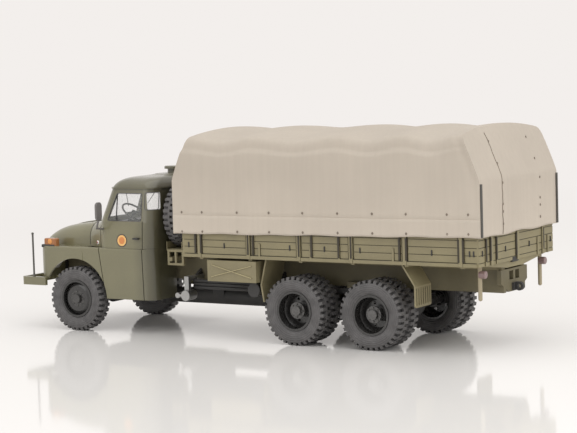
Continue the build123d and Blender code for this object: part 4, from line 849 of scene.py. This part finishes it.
def eyelet(centre, outward, radius):
    """Ring with a rounded lip: a half circle of profile carried round the eyelet's own axis."""
    turn = np.linspace(0, np.pi, 6)
    profile = np.stack([0.3 * radius * np.sin(turn), radius * (0.7 - 0.3 * np.cos(turn))], axis=1)
    return lathe(profile, centre, outward, 14)


def rear_face(height):
    """X of the tilt's swollen rear panel at a height."""
    return node_box("tilt")[0][0] - REAR_SWELL * MM + tilt_end(np.asarray(height) * MM - sizes().rise)


def flap_edge():
    """Edge of the left rear flap: a tube up the rear panel that drifts sideways by two sines."""
    heights = np.linspace(*FLAP_EDGE, 60)
    drift = 0.16 * np.sin(heights * 0.7) + 0.08 * np.sin(heights * 2.1)
    x = rear_face(heights) - 0.03 * MM
    y = (REAR_SEAMS[0] + drift) * MM
    return tube(np.stack([x, y, heights * MM], axis=1), FLAP_EDGE_RADIUS * MM, 6)


class TRUCK_OT_tilt_fastenings(bpy.types.Operator):
    """Sets the eyelets, ties and end flap edges of the tilt"""

    bl_idname = "truck.tilt_fastenings"
    bl_label = "Fasten the Tilt"

    def execute(self, context):
        high = node_box("tilt")[1]
        radius = sizes().eyelet
        brass = finish("eyelet_brown", "moulded", colours().eyelet, 1.3)
        rings, ties = [], []
        for side in SIDES:
            for distance in EYELETS:
                for row in EYELET_ROWS:
                    height = np.interp(distance, (EYELETS[0], EYELETS[-1]), row)
                    spot = np.array([behind(distance), side * high[1], height * MM])
                    rings.append(eyelet(spot, (0, side, 0), radius))
                    ties.append(block_at(spot, SIDE_TIE, TIE_ROUND))
        lean = (-1, 0, sizes().hip / (high[2] - sizes().eave))
        for seam in REAR_SEAMS:
            for height in REAR_EYELETS:
                outward = lean if height * MM > sizes().eave else (-1, 0, 0)
                spot = np.array([rear_face(height), (seam - EYELET_ASIDE) * MM, height * MM])
                rings.append(eyelet(spot, outward, radius))
                ties.append(block_at(spot, REAR_TIE, TIE_ROUND))
        make_piece("tilt_eyelets", rings, brass, TRUCK)
        make_piece("tilt_ties", ties, brass, TRUCK)
        make_piece("tilt_flap_edges", [flap_edge()], brass, TRUCK)
        return {"FINISHED"}


# Wheels

FRONT_DISC = 25.2
REAR_FLANGE = 25.25

# Nut and stud, as (height, radius) in nut radii
NUT_PROFILE = ((0, 0), (0, 1), (0.9, 1), (1.2, 0.75), (1.2, 0.45), (1.7, 0.4), (1.7, 0))


class TRUCK_OT_wheel_nuts(bpy.types.Operator):
    """Bolts a ring of nuts to every wheel"""

    bl_idname = "truck.wheel_nuts"
    bl_label = "Bolt the Wheels"

    def execute(self, context):
        size = sizes()
        nut = size.nut
        profile = nut * np.array(NUT_PROFILE)
        turn = np.linspace(0, 2 * np.pi, size.nut_count, endpoint=False)
        metal = finish("nut_grey", "sprayed", colours().hub_paint, 1.6, coat=0.5)
        for axle in AXLES:
            ring = size.front_nut_ring if axle == "front" else size.rear_nut_ring
            face = (FRONT_DISC if axle == "front" else REAR_FLANGE) * MM
            shells = []
            for side in SIDES:
                for angle in turn:
                    along, up = ring * np.cos(angle), ring * np.sin(angle)
                    spot = (axle_x(axle) + along, side * (face - 0.05 * MM), AXLE_HEIGHT + up)
                    shells.append(lathe(profile, spot, (0, side, 0), 6))
            make_piece(axle + "_wheel_nuts", shells, metal, axle + "_wheelset", sharp=0.5)
        return {"FINISHED"}


# Cab trim

DOOR_WINDOW = ((14.6, 41.5), (30.2, 41.5), (30.2, 51.6), (18.6, 51.6))
SCREEN_PANES = (10.2, 9.6, 42.2, 52.5)
REAR_LIGHT = (10.0, 45.65, 51.95)
CORNER_LIGHT_HALF = 2.6
BONNET_JOINT = 2.9
SEAL_RADIUS = 0.11
SLEEVE_RADIUS = 0.36
QUARTER_BAR_PLACE = 18.8
QUARTER_BAR_HEIGHTS = (41.6, 51.5)
QUARTER_BAR_RADIUS = 0.22
WIPER_ACROSS = (10.5, 6.0)
WIPER_HEIGHTS = (52.0, 45.5)
WIPER_PROUD = 0.5
WIPER_RADIUS = 0.13
BULB_RISE = 0.4
BULB_RADIUS = 1.05


def door_gasket(side, radius):
    """Rubber round a door window: the pane's outline laid on the cab's leaning side."""
    outline = dense(rounded_outline(DOOR_WINDOW, 0.9), 0.5)
    y = side * (cab_half(outline[:, 1]) * MM - 0.4 * radius)
    return tube(np.stack([behind(outline[:, 0]), y, outline[:, 1] * MM], 1), radius, 8, closed=True)


def screen_gasket(side, radius):
    """Rubber round half of the windscreen: the pane's outline laid on the curved front."""
    middle, half, low, high = SCREEN_PANES
    box = ((middle - half, low), (middle + half, low), (middle + half, high), (middle - half, high))
    outline = dense(rounded_outline(box, 1.5), 0.5)
    x = behind(screen_place(outline[:, 0], outline[:, 1])) - 0.4 * radius
    return tube(np.stack([x, side * outline[:, 0] * MM, outline[:, 1] * MM], 1), radius, 8, closed=True)


def back_gasket(radius):
    """Rubber round the rear window, on the flat back wall."""
    half, low, high = REAR_LIGHT
    outline = dense(rounded_outline(((-half, low), (half, low), (half, high), (-half, high)), 0.9), 0.5)
    x = behind(back_wall(outline[:, 1])) + 0.4 * radius
    return tube(np.stack([x, outline[:, 0] * MM, outline[:, 1] * MM], 1), radius, 8, closed=True)


def corner_gasket(side, radius):
    """Rubber round a rear corner light: its outline wrapped round the cab's rounded corner."""
    half = CORNER_LIGHT_HALF
    low, high = REAR_LIGHT[1:]
    outline = dense(rounded_outline(((-half, low), (half, low), (half, high), (-half, high)), 0.9), 0.4)
    angle = np.pi / 4 + np.arcsin(outline[:, 0] / CAB_CORNER)
    wall = back_wall(outline[:, 1])
    x = behind(wall - CAB_CORNER + CAB_CORNER * np.sin(angle)) + 0.3 * radius
    y = side * ((cab_half(outline[:, 1]) - CAB_CORNER + CAB_CORNER * np.cos(angle)) * MM - 0.3 * radius)
    return tube(np.stack([x, y, outline[:, 1] * MM], 1), radius, 8, closed=True)


def bonnet_seal(radius):
    """Dark strip in the bonnet's rear joint: a tube along the skin that a half circle of rays finds."""
    x = behind(BONNET_JOINT)
    turns = np.linspace(0.03, np.pi - 0.03, 70)
    rays = np.stack([np.zeros_like(turns), np.cos(turns), np.sin(turns)], axis=1)
    middle = np.array([x, 0.0, node_box("bonnet")[0][2]])
    path = [skin("bonnet", middle + 0.06 * ray, -ray)[0] for ray in rays]
    return tube(path, radius, 6)


def rod_sleeves(radius):
    """Sleeve on each width rod: a tube up the rod's own line, from the bumper to just under its tip."""
    low, high = node_box("width_rods")
    reach = (high[0] - low[0]) / 2
    heights = np.linspace(low[2], high[2] - 0.3 * MM, 6)
    across = np.full(6, high[1] - reach)
    along = np.full(6, (low[0] + high[0]) / 2)
    return [tube(np.stack([along, side * across, heights], 1), radius, 10) for side in SIDES]


def quarter_bar(side):
    """Upright bar of a quarter light: a tube up the cab's leaning side."""
    heights = np.linspace(*QUARTER_BAR_HEIGHTS, 8)
    x = behind(np.full(8, QUARTER_BAR_PLACE))
    return tube(np.stack([x, side * cab_half(heights) * MM, heights * MM], 1), QUARTER_BAR_RADIUS * MM, 8)


def wiper(side):
    """Wiper at rest: a straight slant in width and height, laid on the windscreen's curve."""
    sweep = np.linspace(0, 1, 8)
    across = side * np.interp(sweep, (0, 1), WIPER_ACROSS)
    up = np.interp(sweep, (0, 1), WIPER_HEIGHTS)
    x = behind(screen_place(across, up) - WIPER_PROUD)
    return tube(np.stack([x, across * MM, up * MM], 1), WIPER_RADIUS * MM, 6)


def indicator_seat(side):
    """Rubber seat under an indicator: a rounded block a little wider and longer than the lamp."""
    low, high = node_box("indicators")
    inner = (high[1] - 3.2 * MM, high[1] + 0.3 * MM)
    y_low, y_high = inner if side > 0 else (-inner[1], -inner[0])
    seat_low = (low[0] + 0.6 * MM, y_low, low[2] - 0.7 * MM)
    seat_high = (high[0] + 0.8 * MM, y_high, low[2] + 0.5 * MM)
    return rounded_block(seat_low, seat_high, 0.4 * MM, 5)


def indicator_bulb(side):
    """Bright middle of an indicator: a flattened dome turned about the lamp's own axis."""
    low, high = node_box("indicators")
    middle = (low + high) / 2
    spot = (middle[0] - 0.3 * MM, side * (high[1] - 0.1 * MM), middle[2] + 0.2 * MM)
    turn = np.linspace(0, np.pi / 2, 6)
    profile = np.stack([BULB_RISE * np.sin(turn), BULB_RADIUS * np.cos(turn)], axis=1) * MM
    return lathe(profile, spot, (0, side, 0), 24)


class TRUCK_OT_cab_trim(bpy.types.Operator):
    """Adds window rubbers, bars, wipers, lamp seats and bulbs, bonnet seal and rod sleeves to the cab"""

    bl_idname = "truck.cab_trim"
    bl_label = "Trim the Cab"

    def execute(self, context):
        radius = sizes().gasket
        rubber = finish("gasket_rubber", "moulded", colours().rubber, 1.5)
        gaskets = [back_gasket(radius)]
        for side in SIDES:
            gaskets += [door_gasket(side, radius), screen_gasket(side, radius), corner_gasket(side, radius)]
        black = black_trim()
        make_piece("window_rubbers", gaskets, rubber, TRUCK)
        make_piece("quarter_light_bars", map(quarter_bar, SIDES), black, TRUCK)
        make_piece("wipers", map(wiper, SIDES), black, TRUCK)
        make_piece("indicator_seats", map(indicator_seat, SIDES), black, TRUCK)
        make_piece("bonnet_seal", [bonnet_seal(SEAL_RADIUS * MM)], black, TRUCK)
        make_piece("rod_sleeves", rod_sleeves(SLEEVE_RADIUS * MM), grey_fittings(), TRUCK)
        amber = lens("bulb_lens", colours().bulb)
        make_piece("indicator_bulbs", map(indicator_bulb, SIDES), amber, TRUCK)
        return {"FINISHED"}


ROUNDEL_PLACE = (21.4, 34.3)
ROUNDEL_PROUD = 0.05
MARKER_PLACE = (8.4, 33.05)


class TRUCK_OT_markings(bpy.types.Operator):
    """Puts a plain ringed roundel and a side marker lamp on each flank of the cab"""

    bl_idname = "truck.markings"
    bl_label = "Mark the Doors"

    def execute(self, context):
        paint = colours()
        radius = sizes().roundel
        proud = ROUNDEL_PROUD * MM
        rings = (
            # name, outer and inner share of the radius, finish
            ("roundel_rim", 1.0, 0.84, finish("roundel_dark", "sprayed", paint.roundel_rim, 1.4)),
            ("roundel_band", 0.84, 0.55, finish("roundel_yellow", "sprayed", paint.roundel_band, 1.15)),
            ("roundel_middle", 0.55, 0.0, finish("roundel_orange", "sprayed", paint.roundel_middle, 1.15)),
        )
        for name, outer, inner, material in rings:
            profile = [(proud, inner * radius), (proud, outer * radius), (-proud, outer * radius)]
            shells = [lathe(profile, *flank("cab_shell", *ROUNDEL_PLACE, side), 48) for side in SIDES]
            make_piece(name, shells, material, TRUCK)
        lamps = (
            # name, radius, height, colour
            ("marker_rims", 0.8, 0.3, paint.white_lens),
            ("marker_lenses", 0.5, 0.5, paint.marker),
        )
        turn = np.linspace(0, np.pi / 2, 5)
        for name, reach, rise, tint in lamps:
            profile = np.stack([np.sin(turn) * rise * MM, np.cos(turn) * reach * MM], axis=1)
            shells = [lathe(profile, *flank("cab_shell", *MARKER_PLACE, side), 20) for side in SIDES]
            make_piece(name, shells, lens(name + "_lens", tint), TRUCK)
        return {"FINISHED"}


# Bed hardware

HOOK_PLACES = (69.7, 97.2, 111.3, 125.4, 152.9)
CORNER_LATCHES = (54.3, 166.9, 168.4)
GATE_HOOKS = (9.0, -9.0, 25.8, -25.8)
GATE_LATCH = (-0.8, 3.8, 29.1, 30.8)
# Painted shadows beside the bed's posts: places along the sides and across the tailgate, heights and sizes in
# millimetres
SIDE_POST_SHADOWS = (57.4, 59.8, 80.0, 82.1, 101.1, 106.2, 117.1, 122.0, 140.8, 143.4, 163.0, 164.7)
GATE_POST_SHADOWS = (23.4, 20.2, 15.9, 1.2, -19.7)
POST_SHADOW_HEIGHTS = (31.2, 38.8)
POST_SHADOW_HALF = 0.36
POST_SHADOW_PROUD = 0.08
POST_SHADOW_ROUND = 0.08
HOOK_HEIGHT = 34.1
HOOK_REACH = np.array([0.22, 0.35, 0.95])
HOOK_ROUND = 0.15
RIB_INSET = 1.85
RIB_HEIGHTS = (22.9, 27.2)
RIB_RADIUS = 0.17
PIPE_ENDS = (47.0, 80.0)
PIPE_HEIGHTS = (16.9, 18.1, 19.3)
PIPE_ASIDE = 14.6
PIPE_INWARD = 7.0
PIPE_RISE = 3.4
PIPE_BEND = 2.0
PIPE_RADIUS = 0.65
SUNK = 1.0


def gate_skin(across, height):
    """Point on the tailgate's outer face."""
    gate = node_box("tailgate")[0][0]
    return skin("tailgate", (gate - 10.0 * MM, across * MM, height * MM), (1, 0, 0))[0]


def lashing_hooks():
    """Hooks on the sides and the tailgate, and the tailgate's latch: rounded blocks set on the skin."""
    hooks = []
    for side, node in zip(SIDES, ("bed_side_left", "bed_side_right")):
        for distance in HOOK_PLACES + CORNER_LATCHES:
            hooks.append(block_at(flank(node, distance, HOOK_HEIGHT, side)[0], HOOK_REACH, HOOK_ROUND))
    for across in GATE_HOOKS:
        hooks.append(block_at(gate_skin(across, HOOK_HEIGHT), HOOK_REACH[[1, 0, 2]], HOOK_ROUND))
    right, left, bottom, top = GATE_LATCH
    board = gate_skin(left, top)[0]
    latch_low = (board - 0.06 * MM, right * MM, bottom * MM)
    latch_high = (board + SUNK * MM, left * MM, top * MM)
    hooks.append(rounded_block(latch_low, latch_high, 0.1 * MM, 3))
    return hooks


def painted_post_shadows():
    """Painted shadows beside the posts up the sides and the tailgate: dark rounded blocks that stand a little
    proud of the boards.
    """
    shadows = []
    bottom, top = np.array(POST_SHADOW_HEIGHTS) * MM
    half, proud, radius = POST_SHADOW_HALF * MM, POST_SHADOW_PROUD * MM, POST_SHADOW_ROUND * MM
    outer = node_box("bed_side_left")[1][1]
    for side in SIDES:
        near, far = sorted((side * (outer - SUNK * MM), side * (outer + proud)))
        for x in behind(SIDE_POST_SHADOWS):
            shadows.append(rounded_block((x - half, near, bottom), (x + half, far, top), radius, 3))
    gate = node_box("tailgate")[0][0]
    for y in np.array(GATE_POST_SHADOWS) * MM:
        low, high = (gate - proud, y - half, bottom), (gate + SUNK * MM, y + half, top)
        shadows.append(rounded_block(low, high, radius, 3))
    return shadows


def box_ribs(radius):
    """Crossed ribs on the stowage box, pale as a painted highlight: two straight tubes along the diagonals of
    its outer face.
    """
    low, high = node_box("stowage_box")
    rear, front = low[0] + RIB_INSET * MM, high[0] - RIB_INSET * MM
    bottom, top = np.array(RIB_HEIGHTS) * MM
    along = np.linspace(0, 1, 5)
    x = rear + along * (front - rear)
    y = np.full(5, high[1])
    rising = bottom + along * (top - bottom)
    return [tube(np.stack([x, y, z], axis=1), radius) for z in (rising, rising[::-1])]


def brake_pipes(radius):
    """Pipes along the frame: level runs over one another, with ends turned to the rail by a sine."""
    turn = np.linspace(0, np.pi / 2, 7)
    bend = 1 - np.sin(np.concatenate([turn, turn[::-1]]))
    front = PIPE_ENDS[0] - PIPE_BEND * np.cos(turn)
    rear = PIPE_ENDS[1] + PIPE_BEND * np.cos(turn[::-1])
    distance = np.concatenate([front, rear])
    across = (PIPE_ASIDE - PIPE_INWARD * bend) * MM
    pipes = []
    for height in PIPE_HEIGHTS:
        rise = (height + PIPE_RISE * bend) * MM
        pipes.append(tube(np.stack([behind(distance), across, rise], axis=1), radius))
    return pipes


class TRUCK_OT_bed_hardware(bpy.types.Operator):
    """Adds lashing hooks, latches, painted shadows beside the posts, the stowage box's ribs with a painted
    highlight and the pipes under it to the bed
    """

    bl_idname = "truck.bed_hardware"
    bl_label = "Fit the Bed"

    def execute(self, context):
        # Dark blocks painted as the shadows beside the posts
        dark = finish("post_shadow_colour", "moulded", colours().post_shadow_colour, 1.4)
        # Pale finish of the ribs: a painted highlight on the stowage box's crossed ridges
        pale = finish("rib_highlight", "moulded", np.array(colours().bed_paint) * 1.7, 1.2)
        make_piece("lashing_hooks", lashing_hooks(), black_trim(), TRUCK)
        make_piece("painted_post_shadows", painted_post_shadows(), dark, TRUCK)
        make_piece("box_ribs", box_ribs(RIB_RADIUS * MM), pale, TRUCK)
        make_piece("brake_pipes", brake_pipes(PIPE_RADIUS * MM), black_trim(), TRUCK)
        return {"FINISHED"}


# Stage

CAMERA_PLACE = (-0.38432, 0.58397, 0.10022)
CAMERA_YAW = 0.5756
CAMERA_PITCH = 0.0831
CAMERA_ROLL = -0.0299
CAMERA_LENS = 120.35
CAMERA_SENSOR = 36.0
FLOOR_HALF = 6.0
FLOOR_LINES = 13
FLOOR_FADE = (0.22, 0.75)
FLOOR_ROUGHNESS = 0.07
FLOOR_IOR = 1.21
LAMP_AIM = np.array([0.0, 0.0, 0.04])
WORLD_TINT = (1.0, 0.985, 0.97, 1)
WORLD_STRENGTH = 0.78


def camera_turn():
    """Rotation whose columns are the camera's right, up and back, from its yaw, pitch and roll."""
    level = np.cos(CAMERA_PITCH)
    ahead = np.array([np.sin(CAMERA_YAW) * level, -np.cos(CAMERA_YAW) * level, -np.sin(CAMERA_PITCH)])
    right = np.cross(ahead, (0, 0, 1))
    right /= np.linalg.norm(right)
    up = np.cross(right, ahead)
    turned_right = right * np.cos(CAMERA_ROLL) + up * np.sin(CAMERA_ROLL)
    turned_up = up * np.cos(CAMERA_ROLL) - right * np.sin(CAMERA_ROLL)
    return np.stack([turned_right, turned_up, -ahead], axis=1)


def studio_floor(shade, paper):
    """Glossy pale floor near the model that fades to the background's own brightness far off."""
    material = bpy.data.materials.new("studio_floor")
    material.use_nodes = True
    tree = material.node_tree
    shader = tree.nodes["Principled BSDF"]
    place = tree.nodes.new("ShaderNodeTexCoord").outputs["Object"]
    cloud = noise(tree, place, 3.0, 2.0)
    tone = tree.nodes.new("ShaderNodeMix")
    tone.data_type = "RGBA"
    tone.inputs[6].default_value = (*shade, 1)
    tone.inputs[7].default_value = (*(np.array(shade) * 1.03), 1)
    tree.links.new(cloud, tone.inputs["Factor"])
    tree.links.new(tone.outputs[2], shader.inputs["Base Color"])
    shader.inputs["Roughness"].default_value = FLOOR_ROUGHNESS
    shader.inputs["IOR"].default_value = FLOOR_IOR
    glow = tree.nodes.new("ShaderNodeEmission")
    glow.inputs["Color"].default_value = (*paper, 1)
    far = span(tree, vector_math(tree, "LENGTH", place).outputs["Value"], *FLOOR_FADE, 0.0, 1.0)
    mix = tree.nodes.new("ShaderNodeMixShader")
    tree.links.new(far, mix.inputs["Fac"])
    tree.links.new(shader.outputs["BSDF"], mix.inputs[1])
    tree.links.new(glow.outputs["Emission"], mix.inputs[2])
    tree.links.new(mix.outputs["Shader"], tree.nodes["Material Output"].inputs["Surface"])
    return material


def studio_world(paper):
    """Even soft light, with the paper colour where the camera, a gloss or a pane looks past the floor."""
    world = bpy.data.worlds.new("studio")
    world.use_nodes = True
    tree = world.node_tree
    shine = tree.nodes["Background"]
    shine.inputs["Color"].default_value = WORLD_TINT
    shine.inputs["Strength"].default_value = WORLD_STRENGTH
    seen = tree.nodes.new("ShaderNodeBackground")
    seen.inputs["Color"].default_value = (*paper, 1)
    rays = tree.nodes.new("ShaderNodeLightPath")
    direct = math(tree, "MAXIMUM", rays.outputs["Is Camera Ray"], rays.outputs["Is Glossy Ray"])
    direct = math(tree, "MAXIMUM", direct, rays.outputs["Is Transmission Ray"])
    mix = tree.nodes.new("ShaderNodeMixShader")
    tree.links.new(direct, mix.inputs["Fac"])
    tree.links.new(shine.outputs["Background"], mix.inputs[1])
    tree.links.new(seen.outputs["Background"], mix.inputs[2])
    tree.links.new(mix.outputs["Shader"], tree.nodes["World Output"].inputs["Surface"])
    return world


LAMPS = (
    # name, place, watts, size
    ("overhead_softbox", (-0.05, 0.05, 0.80), 2.6, 1.0),
    ("left_softbox", (0.30, 0.85, 0.45), 1.6, 0.7),
    ("rear_softbox", (-0.85, 0.20, 0.40), 2.4, 0.6),
)


class TRUCK_OT_stage(bpy.types.Operator):
    """Sets the floor, soft lights and camera"""

    bl_idname = "truck.stage"
    bl_label = "Set the Stage"

    def execute(self, context):
        scene = context.scene
        paint = colours()
        reach = np.linspace(-FLOOR_HALF, FLOOR_HALF, FLOOR_LINES)
        x, y = np.meshgrid(reach, reach, indexing="ij")
        points = np.stack([x, y, np.zeros_like(x)], axis=-1).reshape(-1, 3)
        mesh = bpy.data.meshes.new("floor")
        mesh.from_pydata(points.tolist(), [], grid_faces(FLOOR_LINES, FLOOR_LINES)[:, ::-1].tolist())
        mesh.materials.append(studio_floor(paint.floor, paint.background))
        floor = bpy.data.objects.new("floor", mesh)
        scene.collection.objects.link(floor)
        scene.world = studio_world(paint.background)
        for name, place, watts, size in LAMPS:
            lamp = bpy.data.lights.new(name, "AREA")
            lamp.energy = watts
            lamp.size = size
            stand = bpy.data.objects.new(name, lamp)
            stand.location = place
            stand.rotation_euler = Vector(LAMP_AIM - place).to_track_quat("-Z", "Y").to_euler()
            scene.collection.objects.link(stand)
            stand.visible_glossy = name != "rear_softbox"
        lens_data = bpy.data.cameras.new("camera")
        lens_data.lens = CAMERA_LENS
        lens_data.sensor_width = CAMERA_SENSOR
        lens_data.clip_start = 0.01
        camera = bpy.data.objects.new("camera", lens_data)
        turned = Matrix(camera_turn().tolist()).to_4x4()
        camera.matrix_world = Matrix.Translation(CAMERA_PLACE) @ turned
        scene.collection.objects.link(camera)
        scene.camera = camera
        scene.view_settings.view_transform = "Standard"
        return {"FINISHED"}


OPERATORS = (
    TRUCK_OT_finishes,
    TRUCK_OT_tilt,
    TRUCK_OT_tilt_fastenings,
    TRUCK_OT_wheel_nuts,
    TRUCK_OT_cab_trim,
    TRUCK_OT_markings,
    TRUCK_OT_bed_hardware,
    TRUCK_OT_stage,
)


class TRUCK_PT_dressing(bpy.types.Panel):
    """Lists the steps that dress the truck"""

    bl_label = "Cargo Truck Model"
    bl_idname = "TRUCK_PT_dressing"
    bl_space_type = "VIEW_3D"
    bl_region_type = "UI"
    bl_category = "Truck"

    def draw(self, context):
        for step in OPERATORS:
            self.layout.operator(step.bl_idname)


CLASSES = (TruckSizes, TruckColours, *OPERATORS, TRUCK_PT_dressing)


def register():
    for item in CLASSES:
        bpy.utils.register_class(item)
    bpy.types.Scene.truck_sizes = PointerProperty(type=TruckSizes)
    bpy.types.Scene.truck_colours = PointerProperty(type=TruckColours)


def unregister():
    del bpy.types.Scene.truck_colours
    del bpy.types.Scene.truck_sizes
    for item in reversed(CLASSES):
        bpy.utils.unregister_class(item)


def main():
    """Registers the add-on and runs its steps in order."""
    register()
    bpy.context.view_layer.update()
    bpy.ops.truck.finishes()
    bpy.ops.truck.tilt()
    bpy.ops.truck.tilt_fastenings()
    bpy.ops.truck.wheel_nuts()
    bpy.ops.truck.cab_trim()
    bpy.ops.truck.markings()
    bpy.ops.truck.bed_hardware()
    bpy.ops.truck.stage()


if __name__ == "__main__":
    main()
